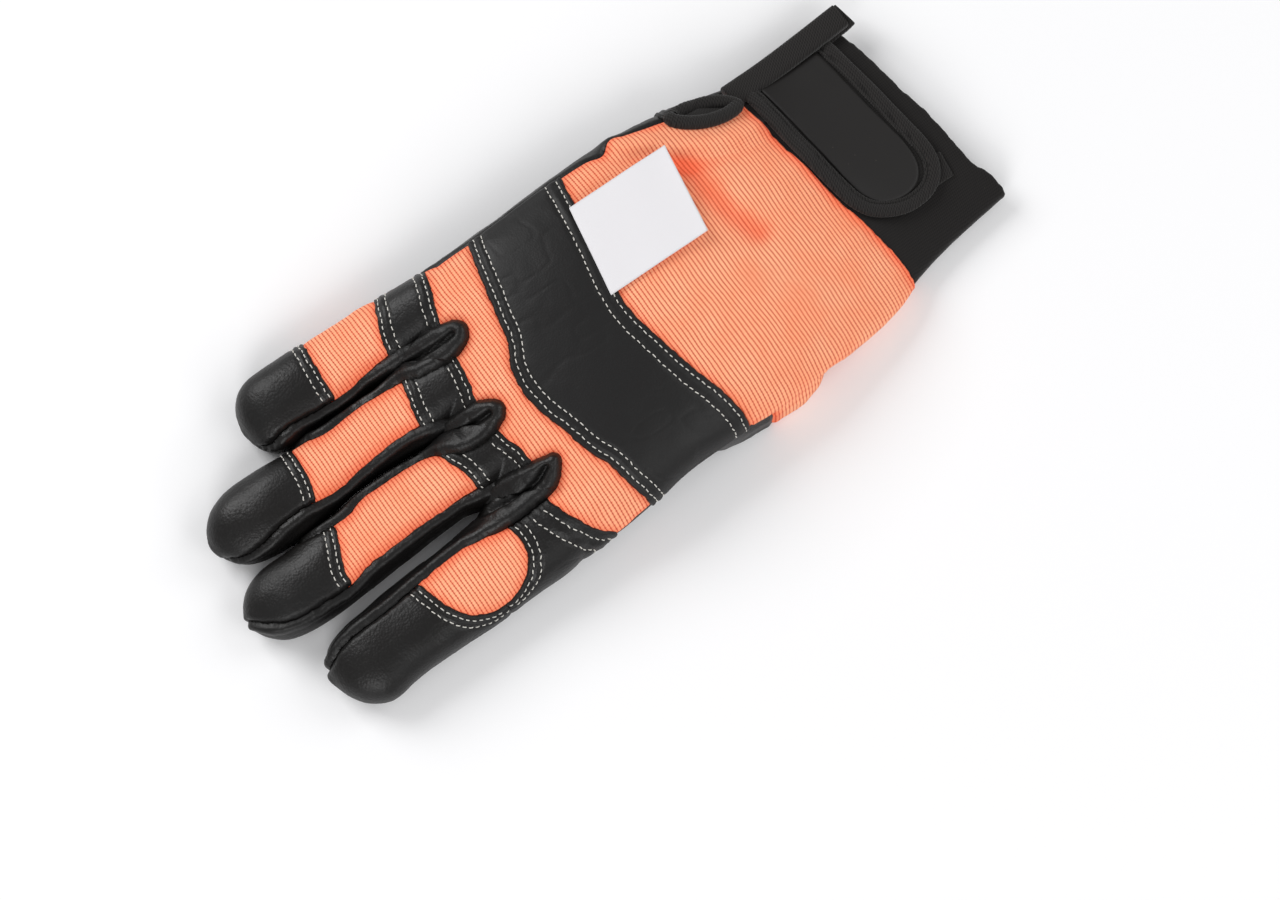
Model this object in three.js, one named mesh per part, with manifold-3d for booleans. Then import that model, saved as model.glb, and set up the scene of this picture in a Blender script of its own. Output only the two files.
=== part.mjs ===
// A right-hand protective work glove, lying on its palm with the back of the hand up and the thumb
// tucked flat under the palm. Millimetres, +Z up, +Y towards the fingertips, +X towards the little
// finger. The glove is a hollow shell, cut along its seams into the pieces it is sewn from.
import * as THREE from "three";
import { mergeVertices } from "three/addons/utils/BufferGeometryUtils.js";
import Module from "manifold-3d";

const wasm = await Module();
wasm.setup();

// Driving dimensions.
const PALM_WIDTH = 100; // across the knuckles; plan positions across are shares of it
const HAND_LENGTH = 200; // the hand it is cut for; plan positions along are shares of it
const HAND_HEIGHT = 30; // thickest part of the lying hand
const FINGER_HEIGHT = 17.5;
const INDEX_LENGTH = 84.3; // each finger from the line of the finger roots to its tip
const MIDDLE_LENGTH = 95.2;
const RING_LENGTH = 90.8;
const PINKY_LENGTH = 62.3;
const THUMB_LENGTH = 92; // from the fold at the side of the hand to the tip
const THUMB_HEIGHT = 11;
const THUMB_CLEARANCE = 1.2; // between the tucked thumb and the palm over it
const WALL = 1.8; // leather with lining, stretch fabric and cuff knit alike
const SEAM_GAP = 0.3; // between two sewn pieces
const WELD = 0.03; // no edge is left shorter
const STRAP_LENGTH = 58.5;
const STRAP_WIDTH = 33;
const STRAP_THICKNESS = 1.4;
const PAD_THICKNESS = 1;
const BINDING_WIDTH = 3.6;
const BINDING_HEIGHT = 3;
const ANCHOR_WIDTH = 8.5;
const ANCHOR_LENGTH = 40;
const ANCHOR_THICKNESS = 4;
const LOOP_CORD = 3.2;
const LOOP_LENGTH = 23;
const LOOP_WIDTH = 11;
const LABEL_WIDTH = 30.5;
const LABEL_LENGTH = 36;
const LABEL_THICKNESS = 0.8;
const LABEL_LIFT = 3; // how far the free edge of the label stands off the fabric

const ROOT_Y = 0.2 * HAND_LENGTH; // the line of the finger roots
const REACH = 0.1 * PALM_WIDTH; // how far a cutting outline runs past the glove
const CEILING = 2 * HAND_HEIGHT;
const BELT = 0.44; // share of its height at which a section is widest
const TOP_ROUND = 2.5; // exponents of the sections' rounded tops and flat undersides
const UNDER_ROUND = 3;
const SPREAD = 0.88; // how evenly a section's points lie across it

// The hand and cuff, from the cuff's end to the webs between the fingers. along is a share of
// HAND_LENGTH, left and right of PALM_WIDTH, low and high of HAND_HEIGHT.
const HAND_SECTIONS = [
  { along: -0.7, left: -0.365, right: 0.39, low: -0.02, high: 0.4 },
  { along: -0.62, left: -0.383, right: 0.388, low: -0.02, high: 0.4 },
  { along: -0.55, left: -0.4, right: 0.385, low: -0.02, high: 0.41 },
  { along: -0.49, left: -0.425, right: 0.388, low: -0.02, high: 0.45 },
  { along: -0.43, left: -0.463, right: 0.412, low: -0.02, high: 0.56 },
  { along: -0.37, left: -0.483, right: 0.442, low: -0.02, high: 0.69 },
  { along: -0.3, left: -0.495, right: 0.475, low: -0.02, high: 0.82 },
  { along: -0.2, left: -0.512, right: 0.497, low: -0.02, high: 0.94 },
  { along: -0.1, left: -0.503, right: 0.496, low: -0.02, high: 0.99 },
  { along: 0, left: -0.503, right: 0.488, low: -0.02, high: 1 },
  { along: 0.075, left: -0.525, right: 0.488, low: -0.02, high: 0.97 },
  { along: 0.14, left: -0.532, right: 0.489, low: -0.02, high: 0.88 },
  { along: 0.19, left: -0.53, right: 0.49, low: -0.02, high: 0.74 },
  { along: 0.235, left: -0.51, right: 0.49, low: 0.02, high: 0.56 },
  { along: 0.262, left: -0.49, right: 0.48, low: 0.08, high: 0.4 },
];
const HAND_STEPS = 17;
const HAND_SIDES = 24;
const HOLLOW_HAND_SIDES = 18; // the lining's facets are coarser than the outside's

// The fingers. centre and half are shares of PALM_WIDTH at each station, along of the finger's
// length, low and high of FINGER_HEIGHT. hem and bandTop are the seams across the finger, as
// [share of the half width from the centre, share of the length].
const FINGER_PROFILE = [
  { along: -0.3, low: 0.14, high: 1.3 },
  { along: -0.12, low: -0.02, high: 1.33 },
  { along: 0.06, low: -0.02, high: 1.17 },
  { along: 0.24, low: -0.02, high: 1.05 },
  { along: 0.42, low: -0.02, high: 1 },
  { along: 0.6, low: -0.02, high: 0.98 },
  { along: 0.76, low: -0.02, high: 0.95 },
  { along: 0.86, low: -0.02, high: 0.88 },
  { along: 0.93, low: 0.02, high: 0.76 },
  { along: 0.975, low: 0.12, high: 0.6 },
  { along: 1, low: 0.27, high: 0.42 },
];
const FINGERS = {
  index: {
    length: INDEX_LENGTH,
    centre: [-0.36, -0.37, -0.382, -0.388, -0.394, -0.392, -0.397, -0.406, -0.4, -0.39, -0.38],
    half: [0.13, 0.14, 0.152, 0.148, 0.144, 0.139, 0.134, 0.135, 0.112, 0.07, 0.02],
  },
  middle: {
    length: MIDDLE_LENGTH,
    centre: [-0.085, -0.09, -0.094, -0.092, -0.086, -0.095, -0.102, -0.1, -0.098, -0.094, -0.095],
    half: [0.1, 0.11, 0.114, 0.115, 0.127, 0.126, 0.122, 0.117, 0.098, 0.062, 0.02],
    bandTop: [[-1.3, 0.15], [0, 0.168], [1.3, 0.22]],
    hem: [[-1.3, 0.662], [0, 0.628], [1.3, 0.575]],
  },
  ring: {
    length: RING_LENGTH,
    centre: [0.15, 0.15, 0.15, 0.157, 0.165, 0.159, 0.158, 0.163, 0.164, 0.166, 0.166],
    half: [0.1, 0.108, 0.113, 0.117, 0.113, 0.117, 0.124, 0.12, 0.1, 0.062, 0.02],
    bandTop: [[-1.3, 0.215], [0, 0.176], [1.3, 0.145]],
    hem: [[-1.3, 0.64], [0, 0.598], [1.3, 0.592]],
  },
  pinky: {
    length: PINKY_LENGTH,
    centre: [0.37, 0.38, 0.391, 0.402, 0.406, 0.41, 0.411, 0.408, 0.406, 0.404, 0.404],
    half: [0.1, 0.107, 0.112, 0.117, 0.119, 0.124, 0.126, 0.122, 0.102, 0.066, 0.02],
    bandTop: [[-1.3, 0.26], [0, 0.165], [1.3, 0.07]],
    hem: [[-1.3, 0.548], [0, 0.518], [1.3, 0.49]],
  },
};
const FINGER_SIDES = 14;
const HOLLOW_FINGER_SIDES = 10;
const SIDE_WALL_LOW = 0.13; // the fourchettes, as shares of the finger's height
const SIDE_WALL_HIGH = 0.9;
const SIDE_WALL_TIP_LOW = 0.4; // the same at the fingertip
const SIDE_WALL_TIP_HIGH = 0.6;
const WEB_FROM = 0.225; // the web between two fingers, as shares of HAND_LENGTH
const WEB_TO = 0.28;
const WEB_LOW = 0.15; // how low the web and the tongues start, as shares of HAND_HEIGHT
const TONGUE_LOW = 0.45;
// The fabric window on the index finger, as [share of the half width, share of the length].
const INDEX_WINDOW = [
  [1.4, 0.57], [0.75, 0.549], [0.3, 0.534], [-0.2, 0.508], [-0.55, 0.465], [-0.76, 0.39],
  [-0.8, 0.32], [-0.7, 0.252], [-0.46, 0.196], [-0.05, 0.161], [0.3, 0.16], [0.75, 0.185], [1.4, 0.2],
];
const INDEX_RIGHT = -0.21; // where the index finger's pieces stop, as a share of PALM_WIDTH
const INDEX_CAP_LINE = 0.33; // where cap and saddle meet on the thumb side

// Seams across the back, as [share of PALM_WIDTH, share of HAND_LENGTH].
const KNUCKLE_TOP = [
  [-0.7, 0.065], [-0.5, 0.0775], [-0.4, 0.09], [-0.28, 0.114], [-0.15, 0.1265], [-0.04, 0.135],
  [0.03, 0.131], [0.12, 0.11], [0.25, 0.0925], [0.4, 0.07], [0.7, 0.035],
];
const KNUCKLE_BOTTOM = [
  [-0.7, -0.13], [-0.49, -0.1235], [-0.38, -0.1125], [-0.25, -0.0925], [-0.12, -0.0775],
  [0, -0.0715], [0.12, -0.076], [0.25, -0.09], [0.38, -0.106], [0.7, -0.13],
];
const BAND_BOTTOM = [
  [-0.7, 0.14], [-0.54, 0.15], [-0.485, 0.174], [-0.4, 0.1925], [-0.33, 0.195], [-0.21, 0.1825],
  [-0.14, 0.188], [-0.06, 0.1965], [0.03, 0.196], [0.1, 0.185], [0.2, 0.178], [0.3, 0.17],
  [0.4, 0.15], [0.5, 0.1365], [0.7, 0.118],
];
const CUFF_SEAM = [
  [-0.7, -0.479], [-0.43, -0.4735], [-0.3, -0.4675], [-0.2, -0.4575], [-0.1, -0.445],
  [0.1, -0.435], [0.3, -0.4215], [0.45, -0.4125], [0.7, -0.4],
];
const CUFF_END = [
  [-0.7, -0.682], [-0.36, -0.677], [-0.29, -0.6725], [-0.24, -0.6595], [-0.1, -0.654],
  [0.08, -0.64], [0.34, -0.621], [0.7, -0.603],
];
// Where the fourchettes end on the back of the hand: rounded tongues over the webs.
const TONGUES = [
  { fingers: ["index", "middle"], tip: [-0.265, 0.143], half: 0.058, web: [-0.222, 0.25] },
  { fingers: ["middle", "ring"], tip: [-0.022, 0.165], half: 0.055, web: [0.03, 0.25] },
  { fingers: ["ring", "pinky"], tip: [0.238, 0.14], half: 0.06, web: [0.278, 0.25] },
];

// Heights of the side seams between the back and the palm, as [share of HAND_LENGTH along, share
// of HAND_HEIGHT].
const SEAM_THUMB_SIDE = [[-1, 0.45], [0.1, 0.45], [0.16, 0.3], [0.22, 0.2], [1, 0.2]];
const SEAM_PINKY_SIDE = [
  [-1, 0.3], [-0.43, 0.36], [-0.3, 0.56], [-0.15, 0.63], [0.05, 0.6], [0.12, 0.45], [0.2, 0.22],
  [1, 0.16],
];

// Palm side. The textured grip patch has a lobe under each finger; shares as for the back.
const PALM_PATCH = [
  [-0.41, 0.055], [-0.425, 0.12], [-0.425, 0.235], [-0.395, 0.285], [-0.355, 0.28], [-0.315, 0.225],
  [-0.275, 0.17], [-0.235, 0.155], [-0.185, 0.175], [-0.145, 0.245], [-0.12, 0.31], [-0.08, 0.315],
  [-0.045, 0.25], [-0.015, 0.175], [0.03, 0.155], [0.085, 0.18], [0.12, 0.245], [0.145, 0.3],
  [0.18, 0.3], [0.205, 0.245], [0.23, 0.175], [0.28, 0.155], [0.335, 0.18], [0.36, 0.235],
  [0.395, 0.25], [0.425, 0.22], [0.44, 0.14], [0.43, 0.04], [0.38, -0.03], [0.2, -0.055],
  [0, -0.04], [-0.2, -0.005], [-0.34, 0.03],
];
const HEEL_LINE = [[-0.7, -0.35], [-0.1, -0.325], [0.1, -0.315], [0.3, -0.305], [0.7, -0.29]];
const WRAP_LINE = [
  [-0.12, -0.7], [-0.12, -0.4], [-0.13, -0.32], [-0.2, -0.25], [-0.33, -0.16], [-0.43, -0.1235],
  [-0.7, -0.1235],
];
const GRIP_LINES = { middle: 0.58, ring: 0.57, pinky: 0.5 }; // shares of the finger's length

// The thumb, from the fold at the side of the hand to its tip. along is a share of THUMB_LENGTH,
// side and forward place it as shares of PALM_WIDTH and HAND_LENGTH, turn is its heading in
// degrees from +X, half is a share of PALM_WIDTH and high of THUMB_HEIGHT.
const THUMB_START = [-0.518, -0.165];
const THUMB_SECTIONS = [
  { along: 0, turn: -4, half: 0.12, high: 0.85 },
  { along: 0.012, turn: -2, half: 0.18, high: 1.25 },
  { along: 0.05, turn: 0, half: 0.222, high: 1.72 },
  { along: 0.16, turn: 14, half: 0.214, high: 1.75 },
  { along: 0.3, turn: 30, half: 0.19, high: 1.12 },
  { along: 0.48, turn: 39, half: 0.165, high: 1 },
  { along: 0.66, turn: 42, half: 0.15, high: 1 },
  { along: 0.82, turn: 42, half: 0.14, high: 0.97 },
  { along: 0.92, turn: 42, half: 0.112, high: 0.88 },
  { along: 0.98, turn: 42, half: 0.066, high: 0.72 },
  { along: 1, turn: 42, half: 0.025, high: 0.6 },
];
const THUMB_LOW = -0.02; // share of THUMB_HEIGHT
const THUMB_TIP_HALF = 0.12; // narrower sections are the tip, where the hollow ends a wall short
const THUMB_SIDES = 12;
const THUMB_CAP_FROM = 0.62; // share of THUMB_LENGTH where the leather tip begins
const THUMB_CAP_REACH = 0.3; // how far its seam is cut to each side, as a share of PALM_WIDTH
const LIFT_SLOPE = 20; // how far the palm takes to come down beside the thumb

// Straps and small parts on the back, placed as shares of PALM_WIDTH and HAND_LENGTH.
const STRAP_ROOT = [0.345, -0.5115];
const STRAP_ARC = 9; // sides of the strap's round end
const STRAP_TURN = 4.6; // degrees that the strap and cuff seam climb towards the little finger
const ANCHOR_FOOT = [0.405, -0.523];
const LOOP_PLACE = [0.385, -0.352];
const LOOP_TURN = -20; // degrees from +Y
const LOOP_STEPS = 18;
const LOOP_SIDES = 6;
const LABEL_PLACE = [0.198, -0.0775];
const LABEL_TURN = -10.5;
const LABEL_STEPS = 4;

const across = (share) => share * PALM_WIDTH;
const forward = (share) => share * HAND_LENGTH;
const inPlan = (points) => points.map(([u, v]) => new THREE.Vector2(across(u), forward(v)));
const radians = THREE.MathUtils.degToRad;

// Geometry to solid and back.
function toSolid(geometry) {
  const bare = geometry.clone();
  for (const name of Object.keys(bare.attributes)) {
    if (name !== "position") bare.deleteAttribute(name);
  }
  const merged = mergeVertices(bare, 1e-4);
  const make = (triVerts) =>
    new wasm.Manifold(
      new wasm.Mesh({ numProp: 3, vertProperties: merged.attributes.position.array, triVerts }),
    );
  const order = new Uint32Array(merged.index.array);
  const solid = make(order);
  if (solid.volume() > 0) return solid;
  for (let i = 0; i < order.length; i += 3) {
    [order[i + 1], order[i + 2]] = [order[i + 2], order[i + 1]];
  }
  return make(order);
}

function toGeometry(solid) {
  const { vertProperties, triVerts, numProp } = solid.getMesh();
  const positions = new Float32Array((vertProperties.length / numProp) * 3);
  for (let i = 0; i * numProp < vertProperties.length; i++) {
    positions.set(vertProperties.subarray(i * numProp, i * numProp + 3), 3 * i);
  }
  const geometry = new THREE.BufferGeometry();
  geometry.setAttribute("position", new THREE.BufferAttribute(positions, 3));
  geometry.setIndex(new THREE.BufferAttribute(new Uint32Array(triVerts), 1));
  return geometry;
}

// The largest body of a cut, without the slivers that a seam can leave.
function mainBody(solid) {
  return solid.decompose().reduce((best, body) => (body.volume() > best.volume() ? body : best));
}

// Closes up the edges that cuts have left shorter than WELD.
function weld(geometry) {
  const position = geometry.attributes.position;
  const pointAt = (_, i) => new THREE.Vector3().fromBufferAttribute(position, i);
  const points = Array.from({ length: position.count }, pointAt);
  const order = geometry.index.array;
  const faces = Array.from({ length: order.length / 3 }, (_, i) => [...order.slice(3 * i, 3 * i + 3)]);
  const around = points.map(() => new Set());
  faces.forEach((face, i) => face.forEach((v) => around[v].add(i)));
  const neighbours = (v) => new Set([...around[v]].flatMap((i) => faces[i]));
  const collapse = (a, b) => {
    for (const i of [...around[b]]) {
      if (faces[i].includes(a)) {
        faces[i].forEach((v) => around[v].delete(i));
        faces[i] = null;
      } else {
        faces[i] = faces[i].map((v) => (v === b ? a : v));
        around[a].add(i);
      }
    }
    around[b].clear();
  };
  for (let i = 0; i < faces.length; i++) {
    for (let k = 0; k < 3 && faces[i]; k++) {
      const [a, b] = [faces[i][k], faces[i][(k + 1) % 3]];
      if (points[a].distanceTo(points[b]) > WELD) continue;
      const beside = neighbours(b);
      const shared = [...neighbours(a)].filter((v) => v !== a && v !== b && beside.has(v));
      if (shared.length === 2) collapse(a, b);
    }
  }
  const welded = new THREE.BufferGeometry().setFromPoints(points);
  welded.setIndex(faces.filter(Boolean).flat());
  return welded.toNonIndexed();
}

// A closed skin over rings with equal numbers of points; closed joins the last ring to the first.
function loft(rings, closed = false) {
  const count = rings[0].length;
  const points = rings.flat();
  const faces = [];
  const spans = closed ? rings.length : rings.length - 1;
  for (let i = 0; i < spans; i++) {
    const next = (i + 1) % rings.length;
    for (let k = 0; k < count; k++) {
      const a = i * count + k;
      const b = i * count + ((k + 1) % count);
      const c = next * count + k;
      const d = next * count + ((k + 1) % count);
      faces.push(a, b, c, b, d, c);
    }
  }
  if (!closed) {
    [0, rings.length - 1].forEach((i, end) => {
      const middle = new THREE.Vector3();
      rings[i].forEach((p) => middle.addScaledVector(p, 1 / count));
      const hub = points.push(middle) - 1;
      for (let k = 0; k < count; k++) {
        const a = i * count + k;
        const b = i * count + ((k + 1) % count);
        faces.push(...(end ? [a, b, hub] : [b, a, hub]));
      }
    });
  }
  const geometry = new THREE.BufferGeometry().setFromPoints(points);
  geometry.setIndex(faces);
  return toSolid(geometry);
}

// A column of values between the stations of a table, on a smooth curve.
function between(stations, values, at) {
  const last = stations.length - 1;
  const t = THREE.MathUtils.clamp(at, stations[0], stations[last]);
  const i = Math.min(last - 1, Math.max(0, stations.findIndex((s) => s > t) - 1));
  const j = stations[last] <= t ? last - 1 : i;
  const slope = (k) => {
    const a = Math.max(0, k - 1);
    const b = Math.min(last, k + 1);
    return (values[b] - values[a]) / (stations[b] - stations[a]);
  };
  const width = stations[j + 1] - stations[j];
  const s = (t - stations[j]) / width;
  return (
    (1 + 2 * s) * (1 - s) ** 2 * values[j] +
    s * (1 - s) ** 2 * width * slope(j) +
    s * s * (3 - 2 * s) * values[j + 1] +
    s * s * (s - 1) * width * slope(j + 1)
  );
}

// One section of a flattened tube, standing across +Y: rounded on top and flat underneath.
function sectionPoint(turn, { left, right, low, high }) {
  const up = Math.sin(turn);
  const power = up > 0 ? TOP_ROUND : UNDER_ROUND;
  const side = Math.min(1, Math.abs(Math.cos(turn)) ** SPREAD);
  const belt = low + BELT * (high - low);
  const x = (left + right) / 2 + ((right - left) / 2) * Math.sign(Math.cos(turn)) * side;
  const rise = (1 - side ** power) ** (1 / power);
  return [x, Math.abs(up) < 1e-9 ? belt : belt + (up > 0 ? high - belt : low - belt) * rise];
}

// The thumb's centre line, from its headings.
const thumbStations = THUMB_SECTIONS.map((row) => row.along);
const thumbPath = [];
{
  let x = across(THUMB_START[0]);
  let y = forward(THUMB_START[1]);
  THUMB_SECTIONS.forEach((row, i) => {
    if (i) {
      const before = THUMB_SECTIONS[i - 1];
      const step = (row.along - before.along) * THUMB_LENGTH;
      const heading = radians((row.turn + before.turn) / 2);
      x += step * Math.cos(heading);
      y += step * Math.sin(heading);
    }
    thumbPath.push({ x, y, turn: radians(row.turn), half: across(row.half), high: row.high * THUMB_HEIGHT });
  });
}

// How high the underside of the palm has to stay to clear the tucked thumb.
function palmLift(x, y) {
  let inside = -Infinity;
  for (let i = 1; i < thumbPath.length; i++) {
    const a = thumbPath[i - 1];
    const b = thumbPath[i];
    const dx = b.x - a.x;
    const dy = b.y - a.y;
    const t = THREE.MathUtils.clamp(((x - a.x) * dx + (y - a.y) * dy) / (dx * dx + dy * dy), 0, 1);
    const off = Math.hypot(x - a.x - t * dx, y - a.y - t * dy);
    inside = Math.max(inside, a.half + t * (b.half - a.half) - off);
  }
  const share = THREE.MathUtils.smoothstep(inside, -LIFT_SLOPE, 0);
  return share * (THUMB_HEIGHT + THUMB_CLEARANCE);
}

// The hand at one place along it. inset is the wall for the hollow, and negative for what lies on it.
const handStations = HAND_SECTIONS.map((row) => row.along);
function handSection(along, inset) {
  const value = (column) => between(handStations, HAND_SECTIONS.map((row) => row[column]), along);
  return {
    left: across(value("left")) + inset,
    right: across(value("right")) - inset,
    low: value("low") * HAND_HEIGHT + inset,
    high: value("high") * HAND_HEIGHT - inset,
  };
}

function handSolid(inset, first, last) {
  const rings = [];
  for (let i = 0; i <= HAND_STEPS; i++) {
    const along = first + ((last - first) * i) / HAND_STEPS;
    const section = handSection(along, inset);
    const y = forward(along);
    const sides = inset > 0 ? HOLLOW_HAND_SIDES : HAND_SIDES;
    const ring = [];
    for (let k = 0; k < sides; k++) {
      const [x, z] = sectionPoint((2 * Math.PI * k) / sides, section);
      ring.push(new THREE.Vector3(x, y, Math.max(z, palmLift(x, y) + inset)));
    }
    rings.push(ring);
  }
  return loft(rings);
}

// Height of the back of the hand over a point of the plan.
function backHeight(x, y) {
  const { left, right, low, high } = handSection(y / HAND_LENGTH, 0);
  const belt = low + BELT * (high - low);
  const share = Math.min(0.999, Math.abs((2 * x - left - right) / (right - left)));
  return belt + (high - belt) * (1 - share ** TOP_ROUND) ** (1 / TOP_ROUND);
}

// A finger at a row of its table.
const fingerStations = FINGER_PROFILE.map((row) => row.along);
function fingerSection(finger, along, inset) {
  const value = (values) => between(fingerStations, values, along);
  const centre = across(value(finger.centre));
  const half = across(value(finger.half)) - inset;
  return {
    y: ROOT_Y + along * finger.length,
    centre,
    half,
    left: centre - half,
    right: centre + half,
    low: value(FINGER_PROFILE.map((row) => row.low)) * FINGER_HEIGHT + inset,
    high: value(FINGER_PROFILE.map((row) => row.high)) * FINGER_HEIGHT - inset,
  };
}

function fingerSolid(finger, inset) {
  const rings = FINGER_PROFILE.slice(0, inset > 0 ? -1 : undefined).map((row) => {
    const end = row.along > 0.9 && inset > 0 ? inset / finger.length : 0;
    const section = fingerSection(finger, row.along - end, inset);
    const sides = inset > 0 ? HOLLOW_FINGER_SIDES : FINGER_SIDES;
    const ring = [];
    for (let k = 0; k < sides; k++) {
      const [x, z] = sectionPoint((2 * Math.PI * k) / sides, section);
      ring.push(new THREE.Vector3(x, section.y, Math.max(z, palmLift(x, section.y) + inset)));
    }
    return ring;
  });
  return loft(rings);
}

// The zone of a finger's side wall: side is -1 or 1, grow widens it by the seam.
function sideWall(finger, side, grow) {
  const rings = FINGER_PROFILE.filter((row) => row.along > 0).map((row) => {
    const { y, centre, half, low, high } = fingerSection(finger, row.along, 0);
    const last = row.along === 1;
    const bottom = low + (last ? SIDE_WALL_TIP_LOW : SIDE_WALL_LOW) * (high - low) - grow;
    const top = low + (last ? SIDE_WALL_TIP_HIGH : SIDE_WALL_HIGH) * (high - low) + grow;
    const inner = centre - side * grow;
    const outer = centre + side * (half + 3 * SEAM_GAP);
    return [
      new THREE.Vector3(inner, y + (last ? 1 : 0), bottom),
      new THREE.Vector3(outer, y + (last ? 1 : 0), bottom),
      new THREE.Vector3(outer, y + (last ? 1 : 0), top),
      new THREE.Vector3(inner, y + (last ? 1 : 0), top),
    ];
  });
  return loft(rings);
}

function thumbSolid(inset) {
  const rings = thumbPath.slice(0, inset > 0 ? -1 : undefined).map((row, i) => {
    const end = inset > 0 ? (i === 0 ? inset : row.half < across(THUMB_TIP_HALF) ? -inset : 0) : 0;
    const section = {
      left: -row.half + inset,
      right: row.half - inset,
      low: THUMB_LOW * THUMB_HEIGHT + inset,
      high: row.high - inset,
    };
    const ring = [];
    for (let k = 0; k < THUMB_SIDES; k++) {
      const [off, z] = sectionPoint((2 * Math.PI * k) / THUMB_SIDES, section);
      const x = row.x + end * Math.cos(row.turn) + off * Math.sin(row.turn);
      const y = row.y + end * Math.sin(row.turn) - off * Math.cos(row.turn);
      ring.push(new THREE.Vector3(x, y, Math.max(z, inset)));
    }
    return ring;
  });
  return loft(rings);
}

// Cutting tools: upright prisms on a plan outline, and thin upright walls along a seam.
const smooth = (points, count = 16) => new THREE.SplineCurve(points).getPoints(count);

function prism(outline, low = -CEILING, high = CEILING) {
  const geometry = new THREE.ExtrudeGeometry(new THREE.Shape(outline), {
    depth: high - low,
    bevelEnabled: false,
    curveSegments: 1,
  });
  return toSolid(geometry.translate(0, 0, low));
}

function ribbon(line, width) {
  const sides = [[], []];
  line.forEach((p, i) => {
    const a = line[Math.max(0, i - 1)];
    const b = line[Math.min(line.length - 1, i + 1)];
    const normal = new THREE.Vector2(a.y - b.y, b.x - a.x).normalize();
    sides[0].push(p.clone().addScaledVector(normal, width / 2));
    sides[1].push(p.clone().addScaledVector(normal, -width / 2));
  });
  return prism([...sides[0], ...sides[1].reverse()]);
}

// A slab lying along X under a profile of [y, z] points, between two places across.
function profileSlab(profile, from, to) {
  const geometry = new THREE.ExtrudeGeometry(new THREE.Shape(profile), {
    depth: to - from,
    bevelEnabled: false,
  });
  const turn = new THREE.Matrix4().set(0, 0, 1, from, 1, 0, 0, 0, 0, 1, 0, 0, 0, 0, 0, 1);
  return toSolid(geometry.applyMatrix4(turn));
}

const fingerPoint = (finger) => ([n, s]) => {
  const { y, centre, half } = fingerSection(finger, s, 0);
  return new THREE.Vector2(centre + n * half, y);
};
const join = (solids) => solids.reduce((sum, solid) => sum.add(solid));

// The whole shell, open at the cuff.
const fingers = Object.values(FINGERS);
const outer = join([
  handSolid(0, handStations[0], handStations.at(-1)),
  ...fingers.map((finger) => fingerSolid(finger, 0)),
  thumbSolid(0),
]);
const hollow = join([
  handSolid(WALL, handStations[0] - 0.01, handStations.at(-1) - WALL / HAND_LENGTH),
  ...fingers.map((finger) => fingerSolid(finger, WALL)),
  thumbSolid(WALL),
]);

// Seams as lines in plan.
const knuckleTop = smooth(inPlan(KNUCKLE_TOP));
const knuckleBottom = smooth(inPlan(KNUCKLE_BOTTOM));
const bandBottom = smooth(inPlan(BAND_BOTTOM), 22);
const cuffSeam = smooth(inPlan(CUFF_SEAM), 9);
const cuffEnd = smooth(inPlan(CUFF_END), 10);
const heelLine = smooth(inPlan(HEEL_LINE), 8);
const wrapLine = smooth(inPlan(WRAP_LINE), 14);
const palmPatch = smooth([...inPlan(PALM_PATCH), inPlan(PALM_PATCH)[0]], 36);
const farEnd = ROOT_Y + 1.5 * MIDDLE_LENGTH;
const corner = (x, y) => new THREE.Vector2(x, y);
const edge = across(0.7);

// Regions between two seams, from the lower to the upper.
const regionBetween = (lower, upper) => prism([...lower, ...[...upper].reverse()]);
const regionAbove = (line) => prism([...line, corner(edge, farEnd), corner(-edge, farEnd)]);

const seamWalls = [knuckleTop, knuckleBottom, bandBottom].map((line) => ribbon(line, SEAM_GAP));

function sideProfile(rows) {
  return rows.map(([v, h]) => corner(forward(v), h * HAND_HEIGHT));
}

function underSolid(rows, from, to) {
  const top = sideProfile(rows);
  const profile = [corner(top[0].x, -CEILING), ...top, corner(top.at(-1).x, -CEILING)];
  return profileSlab(profile.reverse(), from, to);
}

function seamSheet(rows, from, to, start) {
  const line = sideProfile(rows).filter((p) => p.x >= start);
  if (line[0].x > start) line.unshift(corner(start, line[0].y));
  const up = line.map((p) => corner(p.x, p.y + SEAM_GAP / 2));
  const down = line.map((p) => corner(p.x, p.y - SEAM_GAP / 2)).reverse();
  return profileSlab([...down.reverse(), ...up.reverse()], from, to);
}

const below = underSolid(SEAM_THUMB_SIDE, -edge, 0).add(underSolid(SEAM_PINKY_SIDE, 0, edge));
const wrapStart = forward(WRAP_LINE.at(-1)[1]);
const sheets = [
  seamSheet(SEAM_THUMB_SIDE, -edge, 0.01, wrapStart),
  seamSheet(SEAM_PINKY_SIDE, -0.01, edge, -HAND_LENGTH),
];

// The fourchettes: facing side walls of two fingers, the web between them and a tongue on the back.
function tongueOutline({ tip, half, web }, grow) {
  const [tipX, tipY] = [across(tip[0]), forward(tip[1])];
  const [webX, webY] = [across(web[0]), forward(web[1])];
  const reach = across(half) + grow;
  const rows = [[0, 0], [0.1, 0.6], [0.3, 0.92], [0.6, 1], [1, 0.98]];
  const side = (sign) =>
    rows.map(([t, w]) => {
      const y = tipY - grow + t * (webY - tipY);
      return corner(tipX + t * (webX - tipX) + sign * w * reach, y);
    });
  return [...side(1), ...side(-1).reverse().slice(0, -1)];
}

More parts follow.
